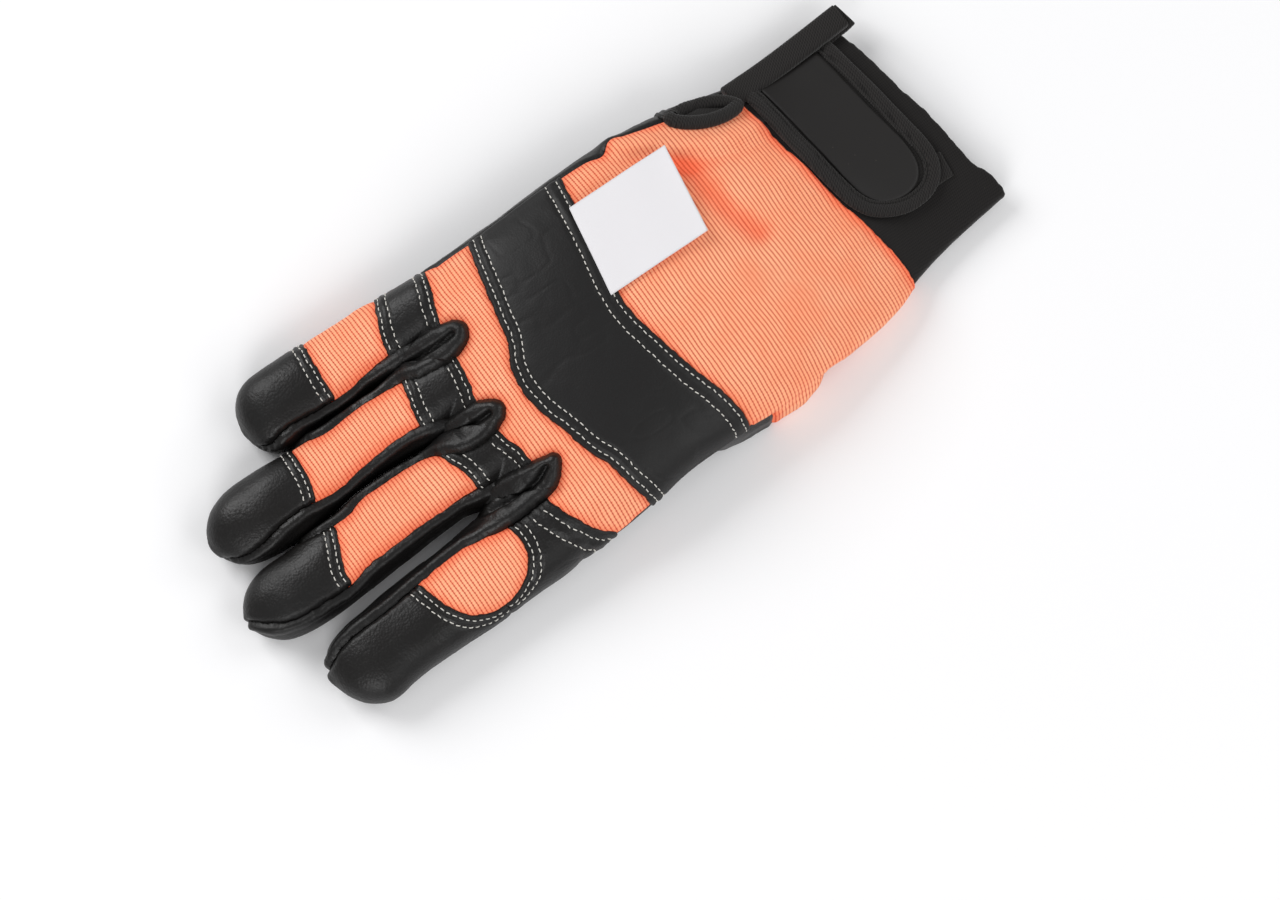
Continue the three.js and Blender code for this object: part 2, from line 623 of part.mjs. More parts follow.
function fourchetteZone(tongue, grow) {
  const [a, b] = tongue.fingers.map((name) => FINGERS[name]);
  const web = [];
  const reach = across(tongue.half) + grow;
  const webX = across(tongue.web[0]);
  web.push(corner(webX - reach, forward(WEB_FROM)), corner(webX + reach, forward(WEB_FROM)));
  web.push(corner(webX + reach, forward(WEB_TO)), corner(webX - reach, forward(WEB_TO)));
  return join([
    sideWall(a, 1, grow),
    sideWall(b, -1, grow),
    prism(web, WEB_LOW * HAND_HEIGHT - grow, CEILING),
    prism(tongueOutline(tongue, grow), TONGUE_LOW * HAND_HEIGHT - grow, CEILING),
  ]);
}

const zones = TONGUES.map((tongue) => fourchetteZone(tongue, 0));
const widerZones = join(TONGUES.map((tongue) => fourchetteZone(tongue, SEAM_GAP)));

// The thumb's own zone: what of the shell belongs to the thumb, where it leaves the hand.
const thumbZone = thumbSolid(-SEAM_GAP);
const thumbZoneWider = thumbSolid(-2 * SEAM_GAP);

const pastCuff = prism([...cuffEnd, corner(edge, -HAND_LENGTH), corner(-edge, -HAND_LENGTH)]);
const shell = outer.subtract(hollow).subtract(pastCuff);
const handShell = shell.subtract(thumbZoneWider);
const cuffWall = ribbon(cuffSeam, SEAM_GAP);
const cuffRegion = regionBetween(cuffEnd, cuffSeam);
const bodyShell = handShell
  .subtract(cuffWall)
  .subtract(join(sheets).subtract(cuffRegion))
  .subtract(cuffRegion);
const backCuts = join(seamWalls).add(widerZones);
const topShell = bodyShell.subtract(below).subtract(backCuts);
const underShell = bodyShell.intersect(below).subtract(widerZones);

const group = new THREE.Group();
const FABRIC_LOOK = { color: 0xff7a3c, roughness: 0.85, metalness: 0 };
const LEATHER_LOOK = { color: 0x1d1b1c, roughness: 0.5, metalness: 0 };
const PANEL_LOOK = { color: 0x1a1919, roughness: 0.6, metalness: 0 };
const KNIT_LOOK = { color: 0x151414, roughness: 0.95, metalness: 0 };
const GRIP_LOOK = { color: 0x1c1b1c, roughness: 0.7, metalness: 0 };
const RUBBER_LOOK = { color: 0x232020, roughness: 0.55, metalness: 0 };
const LABEL_LOOK = { color: 0xf4f3f6, roughness: 0.6, metalness: 0 };

function addPiece(name, solid, look) {
  const body = mainBody(toSolid(weld(toGeometry(mainBody(solid)))));
  const mesh = new THREE.Mesh(toGeometry(body), new THREE.MeshStandardMaterial(look));
  mesh.name = name;
  group.add(mesh);
}

// Cuff and back of the hand.
addPiece("cuff", handShell.intersect(cuffRegion).subtract(cuffWall), KNIT_LOOK);

const pastWrist = -0.72 * HAND_LENGTH;
const wrapRegion = prism([...wrapLine, corner(-edge, pastWrist)]);
const wrapWall = ribbon(wrapLine, SEAM_GAP);
const under = underShell.subtract(wrapWall);
const backRegion = regionBetween(cuffSeam, knuckleBottom);
const backFabric = bodyShell
  .subtract(backCuts)
  .subtract(wrapWall.intersect(below))
  .intersect(backRegion.subtract(below).add(wrapRegion.intersect(below)));
addPiece("back_fabric", backFabric, FABRIC_LOOK);
addPiece("knuckle_panel", topShell.intersect(regionBetween(knuckleBottom, knuckleTop)), PANEL_LOOK);
addPiece("knuckle_fabric", topShell.intersect(regionBetween(knuckleTop, bandBottom)), FABRIC_LOOK);

// Bands over the finger roots, fabric on the fingers and leather caps.
const beyondBand = topShell.intersect(regionAbove(bandBottom));
for (const name of ["middle", "ring", "pinky"]) {
  const finger = FINGERS[name];
  const line = (rows) => smooth(rows.map(fingerPoint(finger)), 3);
  const [bandTop, hem] = [line(finger.bandTop), line(finger.hem)];
  const walls = ribbon(bandTop, SEAM_GAP).add(ribbon(hem, SEAM_GAP));
  const from = (low, high) => prism([...low, ...high]);
  const tipEnd = [corner(hem.at(-1).x, farEnd), corner(hem[0].x, farEnd)];
  const root = [corner(bandTop[0].x, 0), corner(bandTop.at(-1).x, 0)];
  const fingerBack = beyondBand.subtract(walls);
  addPiece(name + "_band", fingerBack.intersect(from(root, [...bandTop].reverse())), PANEL_LOOK);
  addPiece(name + "_fabric", fingerBack.intersect(from(bandTop, [...hem].reverse())), FABRIC_LOOK);
  addPiece(name + "_cap", fingerBack.intersect(from(hem, tipEnd)), LEATHER_LOOK);
}

// The index finger: a fabric window between a leather cap and the saddle towards the thumb.
const indexWindow = smooth(INDEX_WINDOW.map(fingerPoint(FINGERS.index)), 20);
const capLine = ROOT_Y + INDEX_CAP_LINE * INDEX_LENGTH;
const indexRight = across(INDEX_RIGHT);
const windowMiddle = corner(indexWindow[0].x, capLine);
const windowLeft = corner(indexWindow.reduce((x, p) => Math.min(x, p.x), Infinity), capLine);
const windowWall = ribbon(indexWindow, SEAM_GAP).add(ribbon([corner(-edge, capLine), windowLeft], SEAM_GAP));
const indexColumn = [
  corner(-edge, 0),
  corner(indexRight, 0),
  corner(indexRight, farEnd),
  corner(-edge, farEnd),
];
const indexBack = beyondBand.intersect(prism(indexColumn)).subtract(windowWall);
const windowRegion = prism(indexWindow);
const aboveCapLine = prism([
  corner(-edge, capLine),
  windowMiddle,
  corner(windowMiddle.x, farEnd),
  corner(-edge, farEnd),
]);
addPiece("index_fabric", indexBack.intersect(windowRegion), FABRIC_LOOK);
addPiece("index_cap", indexBack.subtract(windowRegion).intersect(aboveCapLine), LEATHER_LOOK);
addPiece("index_saddle", indexBack.subtract(windowRegion).subtract(aboveCapLine), LEATHER_LOOK);

TONGUES.forEach((tongue, i) => {
  addPiece("fourchette_" + tongue.fingers.join("_"), bodyShell.intersect(zones[i]), LEATHER_LOOK);
});

// Palm side.
const gripEntries = Object.entries(GRIP_LINES).map(([name, share]) => {
  const finger = FINGERS[name];
  const line = [-1.2, 0, 1.2].map((n) => fingerPoint(finger)([n, share]));
  return { name, line, region: prism([...line, corner(line[2].x, farEnd), corner(line[0].x, farEnd)]) };
});
const patchRegion = prism(palmPatch);
const palmWalls = join([
  ribbon([...palmPatch, palmPatch[1]], SEAM_GAP),
  ribbon(heelLine, SEAM_GAP),
  ...gripEntries.map(({ line }) => ribbon(line, SEAM_GAP)),
]);
const palm = under.subtract(palmWalls).subtract(wrapRegion);
const heelRegion = regionBetween([corner(-edge, pastWrist), corner(edge, pastWrist)], heelLine);
const grips = join(gripEntries.map(({ region }) => region));
addPiece("palm_patch", palm.intersect(patchRegion), GRIP_LOOK);
addPiece("palm_heel", palm.intersect(heelRegion), LEATHER_LOOK);
addPiece("palm_leather", palm.subtract(patchRegion).subtract(heelRegion).subtract(grips), LEATHER_LOOK);
for (const { name, region } of gripEntries) {
  addPiece(name + "_grip", palm.intersect(region), GRIP_LOOK);
}

// The thumb: fabric towards the wrist, leather towards the fingers, and a leather cap.
const thumbLine = [corner(-edge, thumbPath[0].y), ...thumbPath.map((p) => corner(p.x, p.y))];
thumbLine.push(corner(thumbPath.at(-1).x + REACH, thumbPath.at(-1).y + REACH));
const capAt = (share) => {
  const value = (key) => between(thumbStations, thumbPath.map((row) => row[key]), share);
  return { x: value("x"), y: value("y"), turn: value("turn") };
};
const cut = capAt(THUMB_CAP_FROM);
const cutSide = corner(Math.sin(cut.turn), -Math.cos(cut.turn));
const cutAhead = corner(Math.cos(cut.turn), Math.sin(cut.turn));
const capReach = across(THUMB_CAP_REACH);
const capEnds = [-1, 1].map((sign) => corner(cut.x, cut.y).addScaledVector(cutSide, sign * capReach));
const capRegion = prism([
  capEnds[0],
  capEnds[1],
  capEnds[1].clone().addScaledVector(cutAhead, THUMB_LENGTH),
  capEnds[0].clone().addScaledVector(cutAhead, THUMB_LENGTH),
]);
const thumbShell = shell.intersect(thumbZone).subtract(ribbon(capEnds, SEAM_GAP));
const thumbWall = ribbon(thumbLine, SEAM_GAP);
const wristSide = prism([...thumbLine, corner(edge, -HAND_LENGTH), corner(-edge, -HAND_LENGTH)]);
addPiece("thumb_cap", thumbShell.intersect(capRegion), LEATHER_LOOK);
const thumbSides = thumbShell.subtract(capRegion).subtract(thumbWall);
addPiece("thumb_fabric", thumbSides.intersect(wristSide), FABRIC_LOOK);
addPiece("thumb_leather", thumbSides.subtract(wristSide), LEATHER_LOOK);

// The closure strap on the cuff: layers over the cuff's outer skin.
const wristPlan = [
  corner(-edge, -HAND_LENGTH),
  corner(edge, -HAND_LENGTH),
  corner(edge, 0),
  corner(-edge, 0),
];
const upper = prism(wristPlan, BELT * HAND_SECTIONS[0].high * HAND_HEIGHT, CEILING);
const skinAt = (height) => handSolid(-height, handStations[0], handStations.at(-1));
function layer(low, high) {
  return skinAt(high).subtract(skinAt(low)).intersect(upper);
}

function strapOutline(inset) {
  const length = STRAP_LENGTH - inset;
  const radius = STRAP_WIDTH / 2 - inset;
  const outline = [corner(0, -radius), corner(0, radius)];
  for (let i = 0; i <= STRAP_ARC; i++) {
    const turn = Math.PI / 2 + (Math.PI * i) / STRAP_ARC;
    outline.push(corner(radius - length + radius * Math.cos(turn), radius * Math.sin(turn)));
  }
  const root = corner(across(STRAP_ROOT[0]), forward(STRAP_ROOT[1]));
  return outline.map((p) => p.rotateAround(corner(0, 0), radians(STRAP_TURN)).add(root));
}

const strapBase = SEAM_GAP + STRAP_THICKNESS;
const strapInner = prism(strapOutline(BINDING_WIDTH));
const bindingLayer = layer(SEAM_GAP, SEAM_GAP + BINDING_HEIGHT).intersect(prism(strapOutline(0)));
const binding = bindingLayer.subtract(prism(strapOutline(BINDING_WIDTH - SEAM_GAP)));
addPiece("strap_binding", binding, KNIT_LOOK);
addPiece("strap_tab", layer(SEAM_GAP, strapBase).intersect(strapInner), KNIT_LOOK);
const padRegion = prism(strapOutline(BINDING_WIDTH + SEAM_GAP));
const padLayer = layer(strapBase + SEAM_GAP, strapBase + SEAM_GAP + PAD_THICKNESS);
addPiece("strap_pad", padLayer.intersect(padRegion), RUBBER_LOOK);

const anchorOutline = [[-1, -1], [1, -1], [1, 1], [-1, 1]].map(([u, v]) =>
  corner(across(ANCHOR_FOOT[0]) + (u * ANCHOR_WIDTH) / 2, forward(ANCHOR_FOOT[1]) + (v * ANCHOR_LENGTH) / 2),
);
const anchor = layer(SEAM_GAP, ANCHOR_THICKNESS)
  .intersect(prism(anchorOutline))
  .subtract(prism(strapOutline(-SEAM_GAP)));
addPiece("strap_anchor", anchor, KNIT_LOOK);

// The pull loop: a bound cord in a long ring, lying on the corner of the back.
function loopSolid() {
  const centre = corner(across(LOOP_PLACE[0]), forward(LOOP_PLACE[1]));
  const [long, wide] = [(LOOP_LENGTH - LOOP_CORD) / 2, (LOOP_WIDTH - LOOP_CORD) / 2];
  const spot = (turn, stretch) => {
    const p = corner((wide + stretch) * Math.cos(turn), (long + stretch) * Math.sin(turn));
    return p.rotateAround(corner(0, 0), radians(LOOP_TURN)).add(centre);
  };
  const rings = [];
  for (let i = 0; i < LOOP_STEPS; i++) {
    const turn = (2 * Math.PI * i) / LOOP_STEPS;
    const ring = [];
    for (let k = 0; k < LOOP_SIDES; k++) {
      const round = (2 * Math.PI * k) / LOOP_SIDES;
      const p = spot(turn, (LOOP_CORD / 2) * Math.cos(round));
      const base = spot(turn, LOOP_CORD / 2);
      const seat = Math.max(backHeight(base.x, base.y), backHeight(p.x, p.y));
      ring.push(new THREE.Vector3(p.x, p.y, seat + SEAM_GAP + (LOOP_CORD / 2) * (1 + Math.sin(round))));
    }
    rings.push(ring);
  }
  return loft(rings, true);
}
addPiece("pull_loop", loopSolid(), KNIT_LOOK);

// The sewn-in label: a soft tab that starts at the panel's seam and lifts towards its free edge.
function labelSolid() {
  const top = corner(across(LABEL_PLACE[0]), forward(LABEL_PLACE[1]));
  const rings = [];
  for (let j = 0; j <= LABEL_STEPS; j++) {
    const low = [];
    const high = [];
    for (let i = 0; i <= LABEL_STEPS; i++) {
      const p = corner((i / LABEL_STEPS - 0.5) * LABEL_WIDTH, (-j / LABEL_STEPS) * LABEL_LENGTH);
      const skew = corner(p.x, p.y + p.x * Math.tan(radians(LABEL_TURN)));
      const [x, y] = [top.x + skew.x, top.y + skew.y];
      const z = backHeight(x, y) + SEAM_GAP + LABEL_LIFT * (j / LABEL_STEPS) ** 2;
      low.push(new THREE.Vector3(x, y, z));
      high.push(new THREE.Vector3(x, y, z + LABEL_THICKNESS));
    }
    rings.push([...low, ...high.reverse()]);
  }
  return loft(rings);
}
addPiece("label", labelSolid(), LABEL_LOOK);

// The part's frame: the middle of its footprint, on the surface it lies on.
const box = new THREE.Box3().setFromObject(group);
const middle = box.getCenter(new THREE.Vector3());
group.position.set(-middle.x, -middle.y, -box.min.z);

export default group;
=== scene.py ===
"""The looks of a right-hand protective work glove, lying on its palm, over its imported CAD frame."""
import math

import bpy
import numpy as np
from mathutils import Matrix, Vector
from mathutils.bvhtree import BVHTree


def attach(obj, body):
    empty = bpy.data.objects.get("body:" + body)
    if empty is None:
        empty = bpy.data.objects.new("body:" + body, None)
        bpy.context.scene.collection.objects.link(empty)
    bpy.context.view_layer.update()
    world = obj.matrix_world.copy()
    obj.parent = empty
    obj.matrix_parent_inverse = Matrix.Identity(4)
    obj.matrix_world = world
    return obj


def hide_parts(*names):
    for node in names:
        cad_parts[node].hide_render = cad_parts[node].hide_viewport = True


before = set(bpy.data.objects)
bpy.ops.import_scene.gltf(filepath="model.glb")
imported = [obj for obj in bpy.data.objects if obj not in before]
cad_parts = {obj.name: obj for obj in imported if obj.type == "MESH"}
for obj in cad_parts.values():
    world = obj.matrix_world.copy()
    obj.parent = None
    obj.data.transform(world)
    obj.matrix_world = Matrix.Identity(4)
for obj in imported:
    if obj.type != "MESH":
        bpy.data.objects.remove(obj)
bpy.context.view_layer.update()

# Lengths are in millimetres, in the plan of the glove: x towards the little finger, y towards the
# fingertips. MM turns them into Blender's metres, and SHIFT moves the plan's origin to the frame's.
MM = 0.001
SHIFT = np.array([0.2, 0.08, 0.0])
VOXEL = 0.6  # size of the mesh that the skins are cut from

# The same driving sizes and sections as in the CAD source.
PALM_WIDTH = 100.0
HAND_LENGTH = 200.0
HAND_HEIGHT = 30.0
FINGER_HEIGHT = 17.5
THUMB_LENGTH = 92.0
THUMB_HEIGHT = 11.0
THUMB_CLEARANCE = 1.2
LIFT_SLOPE = 20.0  # how far around the thumb the palm is lifted
ROOT_Y = 0.2 * HAND_LENGTH
BELT = 0.44  # share of its height at which a section is widest
TOP_ROUND = 2.5
UNDER_ROUND = 3.0
SIDE_ROUND = 0.88
NEAR_TIP = 0.86  # share of a finger's length from which its rings lie closer
FINGER_SIDES = 56  # points of a ring round a finger or the thumb

# along, left, right, low, high, in shares of the named sizes
HAND_SECTIONS = np.array([
    (-0.7, -0.365, 0.39, -0.02, 0.4),
    (-0.62, -0.383, 0.388, -0.02, 0.4),
    (-0.55, -0.4, 0.385, -0.02, 0.41),
    (-0.49, -0.425, 0.388, -0.02, 0.45),
    (-0.43, -0.463, 0.412, -0.02, 0.56),
    (-0.37, -0.483, 0.442, -0.02, 0.69),
    (-0.3, -0.495, 0.475, -0.02, 0.82),
    (-0.2, -0.512, 0.497, -0.02, 0.94),
    (-0.1, -0.503, 0.496, -0.02, 0.99),
    (0, -0.503, 0.488, -0.02, 1),
    (0.075, -0.525, 0.488, -0.02, 0.97),
    (0.14, -0.532, 0.489, -0.02, 0.88),
    (0.19, -0.53, 0.49, -0.02, 0.74),
    (0.235, -0.51, 0.49, 0.02, 0.56),
    (0.262, -0.49, 0.48, 0.08, 0.4),
])
FINGER_ALONG = [-0.3, -0.12, 0.06, 0.24, 0.42, 0.6, 0.76, 0.86, 0.93, 0.975, 1]
FINGER_LOW = [0.14, -0.02, -0.02, -0.02, -0.02, -0.02, -0.02, -0.02, 0.02, 0.12, 0.27]
FINGER_HIGH = [1.3, 1.33, 1.17, 1.05, 1, 0.98, 0.95, 0.88, 0.76, 0.6, 0.42]
FINGERS = {  # length, then centre and half width in shares of the palm's width
    "index": (
        84.3,
        [-0.36, -0.37, -0.382, -0.388, -0.394, -0.392, -0.397, -0.406, -0.4, -0.39, -0.38],
        [0.13, 0.14, 0.152, 0.148, 0.144, 0.139, 0.134, 0.135, 0.112, 0.07, 0.02],
    ),
    "middle": (
        95.2,
        [-0.085, -0.09, -0.094, -0.092, -0.086, -0.095, -0.102, -0.1, -0.098, -0.094, -0.095],
        [0.1, 0.11, 0.114, 0.115, 0.127, 0.126, 0.122, 0.117, 0.098, 0.062, 0.02],
    ),
    "ring": (
        90.8,
        [0.15, 0.15, 0.15, 0.157, 0.165, 0.159, 0.158, 0.163, 0.164, 0.166, 0.166],
        [0.1, 0.108, 0.113, 0.117, 0.113, 0.117, 0.124, 0.12, 0.1, 0.062, 0.02],
    ),
    "pinky": (
        62.3,
        [0.37, 0.38, 0.391, 0.402, 0.406, 0.41, 0.411, 0.408, 0.406, 0.404, 0.404],
        [0.1, 0.107, 0.112, 0.117, 0.119, 0.124, 0.126, 0.122, 0.102, 0.066, 0.02],
    ),
}
THUMB_START = (-51.8, -33.0)
THUMB_SECTIONS = np.array([  # along, turn, half, high
    (0, -4, 0.12, 0.85),
    (0.012, -2, 0.18, 1.25),
    (0.05, 0, 0.222, 1.72),
    (0.16, 14, 0.214, 1.75),
    (0.3, 30, 0.19, 1.12),
    (0.48, 39, 0.165, 1),
    (0.66, 42, 0.15, 1),
    (0.82, 42, 0.14, 0.97),
    (0.92, 42, 0.112, 0.88),
    (0.98, 42, 0.066, 0.72),
    (1, 42, 0.025, 0.6),
])
THUMB_CAP_FROM = 0.62 * THUMB_LENGTH

# Seams in plan. Open lines run from the thumb side to the little-finger side.
CUFF_SEAM = [
    (-70, -96), (-43, -94.5), (-39, -94.7), (-29.9, -93.7), (-20.2, -92.1), (-13, -90.4), (-6.5, -89.1),
    (3.9, -88), (13, -86.2), (30.5, -84.3), (45, -82.5), (70, -80),
]
CUFF_END = [
    (-70, -136.5), (-36, -135.3), (-32.5, -135.2), (-27.3, -134), (-24.7, -132.4), (-19.5, -131.4),
    (-2.6, -130.1), (8.5, -128.1), (19.5, -126.8), (34.4, -124.6), (70, -121),
]
PANEL_LOW = [
    (-70, -27), (-49.7, -24.9), (-42.3, -24.1), (-35.8, -22.2), (-29.3, -19.9), (-19.5, -17.6),
    (-13, -16.3), (-6.5, -15), (0, -14.2), (3.9, -14.7), (14, -16.7), (24, -18.8), (34.8, -20.8),
    (41.6, -21.8), (46.5, -23.1), (70, -27),
]
PANEL_HIGH = [
    (-70, 10.5), (-52.7, 14.6), (-48.1, 15.9), (-42.3, 17.6), (-37.1, 18.5), (-33.2, 20.2), (-28.6, 21.8),
    (-20.2, 23.7), (-14.3, 25.4), (-9.8, 26.3), (-3.3, 26.8), (1.3, 26.3), (6.5, 24.7), (11.7, 21.8),
    (18.2, 20.2), (26, 18.2), (32.5, 16.6), (40.3, 14.6), (47.4, 12.4), (70, 7),
]
BAND_LOW = [
    (-70, 22), (-53, 27.3), (-50.7, 30.6), (-46.8, 33.8), (-42.3, 36.4), (-37.7, 38), (-33.8, 39.1),
    (-27, 36.5), (-21.1, 36.4), (-16.9, 36.7), (-13, 37.7), (-8.1, 39), (-2, 39.6), (3.9, 39),
    (9.1, 37.4), (17.2, 36.1), (24, 35), (29.9, 33.8), (35.1, 32.2), (41.6, 29.6), (48.7, 27.6), (70, 22),
]
BAND_HIGH = {
    "middle": [(-30, 54.2), (-16.6, 54.6), (-11.1, 55.3), (-6.5, 57.2), (-3.3, 58.2), (8, 60)],
    "ring": [(0, 58.4), (9.4, 57.5), (14.3, 56.6), (18.8, 55.3), (22.7, 54.3), (34, 52.4)],
    "pinky": [(22, 53.2), (33.1, 52.5), (37.7, 51.4), (42.9, 49.1), (50.4, 45.8), (66, 39)],
}
HEM = {
    "middle": [
        (-34, 103), (-18.5, 102), (-15, 101.8), (-11.1, 100.2), (-6.5, 97.9), (-1.6, 96.3), (10, 93.5),
    ],
    "ring": [(-4, 100), (8.5, 96.3), (13, 94.6), (18.2, 93.7), (26, 93.3), (40, 93)],
    "pinky": [(18, 73.8), (31.8, 73.2), (42, 72.4), (53.3, 71.2), (68, 69.4)],
}
# The fourchettes' outlines: down one finger's side seam, round the nose on the back of the hand, and up the
# next finger's side seam, then out past the fingertips.
FOURCHETTES = {
    ("index", "middle"): [
        (-36, 127), (-35, 121.3), (-33.6, 117.7), (-32.6, 112.5), (-32.3, 106), (-32.1, 97), (-31.4, 88),
        (-30.2, 74.8), (-30.2, 68.9), (-31.5, 62.4), (-33.2, 56), (-33.8, 49.4), (-33.5, 42.9),
        (-33.2, 36.4), (-31.2, 32.5), (-28.6, 29.9), (-25.4, 28.3), (-23.1, 30.6), (-21.8, 35.1),
        (-20.2, 41), (-18.5, 47.5), (-17.2, 55.9), (-16.9, 66.7), (-16.6, 76.8), (-16.9, 86.5),
        (-17.2, 95), (-18.9, 102.8), (-18.7, 111.2), (-18.2, 117.7), (-17.2, 122.9), (-15, 127.5),
        (-11.7, 131.4), (-8.5, 134.6), (-7, 140), (-22, 142),
    ],
    ("middle", "ring"): [
        (-5, 140), (-2.4, 133), (0.2, 127), (1.2, 120), (1.2, 112), (0.2, 104), (-1, 97), (-1.2, 91.1),
        (0.3, 86.5), (0.8, 82.6), (0.6, 76.8), (0.2, 66.7), (-0.3, 63.7), (-1.6, 59.8), (-3.3, 57.9),
        (-6.5, 53.3), (-8.3, 48.1), (-8.2, 42), (-7.3, 37.6), (-5.4, 34.4), (-2.4, 33), (0.6, 34.1),
        (2.8, 37), (4.3, 41), (5.2, 46.2), (7.1, 50.7), (8.8, 57.2), (9.4, 66.7), (8.8, 80), (7.8, 88.5),
        (8.3, 96), (9, 100.2), (8.8, 108.6), (7.9, 115.8), (7.8, 121), (9.4, 125.5), (12.4, 129.1),
        (14, 137), (3, 142),
    ],
    ("ring", "pinky"): [
        (19.5, 137), (24.3, 128.5), (26.9, 123), (27.7, 117), (27.6, 110), (27, 102), (26.3, 94),
        (25.7, 88.5), (24.2, 84.6), (23.9, 80), (24.6, 71.6), (24.6, 66.7), (24, 62.4), (22.7, 54.6),
        (20.1, 49.4), (18.2, 40.3), (17.9, 36.4), (18.8, 32.5), (20.8, 29.3), (24, 27.8), (27.3, 29.3),
        (29.2, 32.5), (30.2, 36.4), (31.2, 41.6), (32.5, 46.8), (32.8, 50.7), (32.4, 59.2), (31.5, 70),
        (31.8, 80), (32.8, 87.8), (32.8, 93), (32.5, 97.6), (35.1, 100.5), (38, 107), (30, 120),
    ],
}
# The fold that runs from each nose into the gap between its fingers, and on between the fingertips.
SLITS = {
    ("index", "middle"): [
        (-25.8, 33.5), (-27.4, 38), (-28, 45), (-27, 54), (-24.5, 62), (-23.5, 72), (-23.8, 84),
    ],
    ("middle", "ring"): [(-2.4, 37.5), (-1.8, 42), (-0.2, 49), (2.6, 57), (4.6, 66), (4.8, 84)],
    ("ring", "pinky"): [(24, 32.5), (24.4, 38), (26, 46), (28, 55), (28.2, 66), (28, 84)],
}
GAP_ENDS = {
    ("index", "middle"): [(-24, 100), (-24.2, 115), (-24, 135)],
    ("middle", "ring"): [(3.8, 96), (3.6, 112), (3.8, 120), (4.2, 136)],
    ("ring", "pinky"): [(28.8, 92), (29.4, 100), (31, 112), (33, 136)],
}
# The fabric on the index finger, and the line where the index cap meets the saddle.
WINDOW = [
    (-24, 88), (-30.7, 86), (-35.8, 84.6), (-40.3, 83.3), (-44.2, 81.6), (-47.5, 79), (-49.4, 75.8),
    (-50.7, 72.2), (-51, 68.3), (-50.7, 66), (-49.9, 62.4), (-48.1, 58.5), (-44.9, 55.3), (-41, 53.6),
    (-37.1, 53.6), (-33.5, 54.3), (-24, 56),
]
SADDLE_LINE = [(-70, 67.5), (-50, 67.8), (-30, 68)]
# Heights, along y, of the side seam between back and palm.
THUMB_SIDE_SEAM = [(-150, 13.5), (20, 13.5), (32, 9), (44, 5.5), (150, 4.6)]
PINKY_SIDE_SEAM = [
    (-150, 9), (-86, 11), (-60, 18.2), (-30, 20.8), (10, 20.5), (24, 18.5), (32, 13.5), (40, 8.6),
    (56, 6.2), (150, 5),
]
# The palm side: how far the back's fabric wraps round, the heel and the grip patches.
WRAP_LINE = [(-12, -140), (-12, -80), (-13, -64), (-20, -50), (-33, -32), (-43, -25.5), (-70, -24.7)]
HEEL_LINE = [(-70, -70), (-10, -65), (10, -63), (30, -61), (70, -58)]
PALM_PATCH = [
    (-41, 11), (-42.5, 24), (-42.5, 47), (-39.5, 57), (-35.5, 56), (-31.5, 45), (-27.5, 34), (-23.5, 31),
    (-18.5, 35), (-14.5, 49), (-12, 62), (-8, 63), (-4.5, 50), (-1.5, 35), (3, 31), (8.5, 36), (12, 49),
    (14.5, 60), (18, 60), (20.5, 49), (23, 35), (28, 31), (33.5, 36), (36, 47), (39.5, 50), (42.5, 44),
    (44, 28), (43, 8), (38, -6), (20, -11), (0, -8), (-20, -1), (-34, 6),
]
GRIP_FROM = {"middle": 95.2, "ring": 91.8, "pinky": 71.2}
# The trim on the back of the wrist, and the corners of the plain label.
STRAP = [
    (38.5, -85.2), (34.4, -85.6), (17, -86.9), (0, -88.8), (-8, -90), (-13, -91.1), (-18.2, -93.9),
    (-22.1, -98.9), (-24.7, -105.4), (-25, -111.9), (-23.6, -117.1), (-20.4, -121.2), (-15.6, -123.7),
    (-9.8, -124.3), (0, -123.3), (13, -122), (26, -120.5), (34.8, -119.7), (38.5, -119.4),
]
PAD = [
    (36.5, -91.2), (33.8, -91.4), (13, -93.4), (0, -94.7), (-6.5, -95.3), (-12.2, -96.4), (-16.9, -99.6),
    (-19.2, -104), (-19.9, -109.3), (-18.2, -114.2), (-13.7, -117.3), (-6.5, -118.1), (0, -117.4),
    (13, -115.8), (34.1, -114.2), (36.5, -114),
]
HOOK = [(-22.6, -117.5), (-22.9, -124.6), (-14.5, -125.6), (-12, -118)]
ANCHOR = [(38, -81.4), (38.3, -95), (39, -110), (40, -127)]
LABEL = np.array([(4.5, -12.1), (34.8, -18.1), (34.1, -53.9), (3.7, -48.1)])
# The fold that curves round the corner with the pull loop, and the hollow that runs from it below
# the label.
RIDGE = [
    (70, -34), (54, -40), (44, -44), (40.3, -50), (34.4, -54.6), (31.2, -61), (27.9, -67), (26, -73),
    (25, -82),
]
HOLLOW = [(31, -55), (18, -57), (6, -58.5), (-4, -62)]

# Thicknesses and overlaps of the sewn pieces.
FLAT = 0.02  # height at which the leather lies on the ground
LEATHER = 1.0  # how thick the leather stands on the skin
GRIP = 0.9
FABRIC = 0.3
UNDER = 1.8  # how far fabric runs on under the leather that covers its edge
UNDER_PALM = 1.2  # how far the palm's leather runs on under its patches
UNDER_BACK = 1.5  # how far the cuff runs on under the back and the heel
UNDER_THUMB_CAP = 1.4
KNUCKLE_UNDER_NOSE = 1.6  # how far these run on under the noses between the fingers
BAND_UNDER_NOSE = 1.2
FINGER_UNDER_NOSE = 0.6
HEEL_OFF_CUFF = 0.3  # the heel's leather ends this far above the cuff's seam
EDGE_WOBBLE = 0.28  # how uneven the cut edges of the leather are
HAND_INSET = 0.5  # how far the skin lies inside the finished leather and fabric
FINGER_INSET = 0.9
LINING_INSET = 1.9
STITCH_PITCH = 2.15
STITCH_LENGTH = 1.5
STITCH_RADIUS = 0.19
STITCH_SIDES = 6

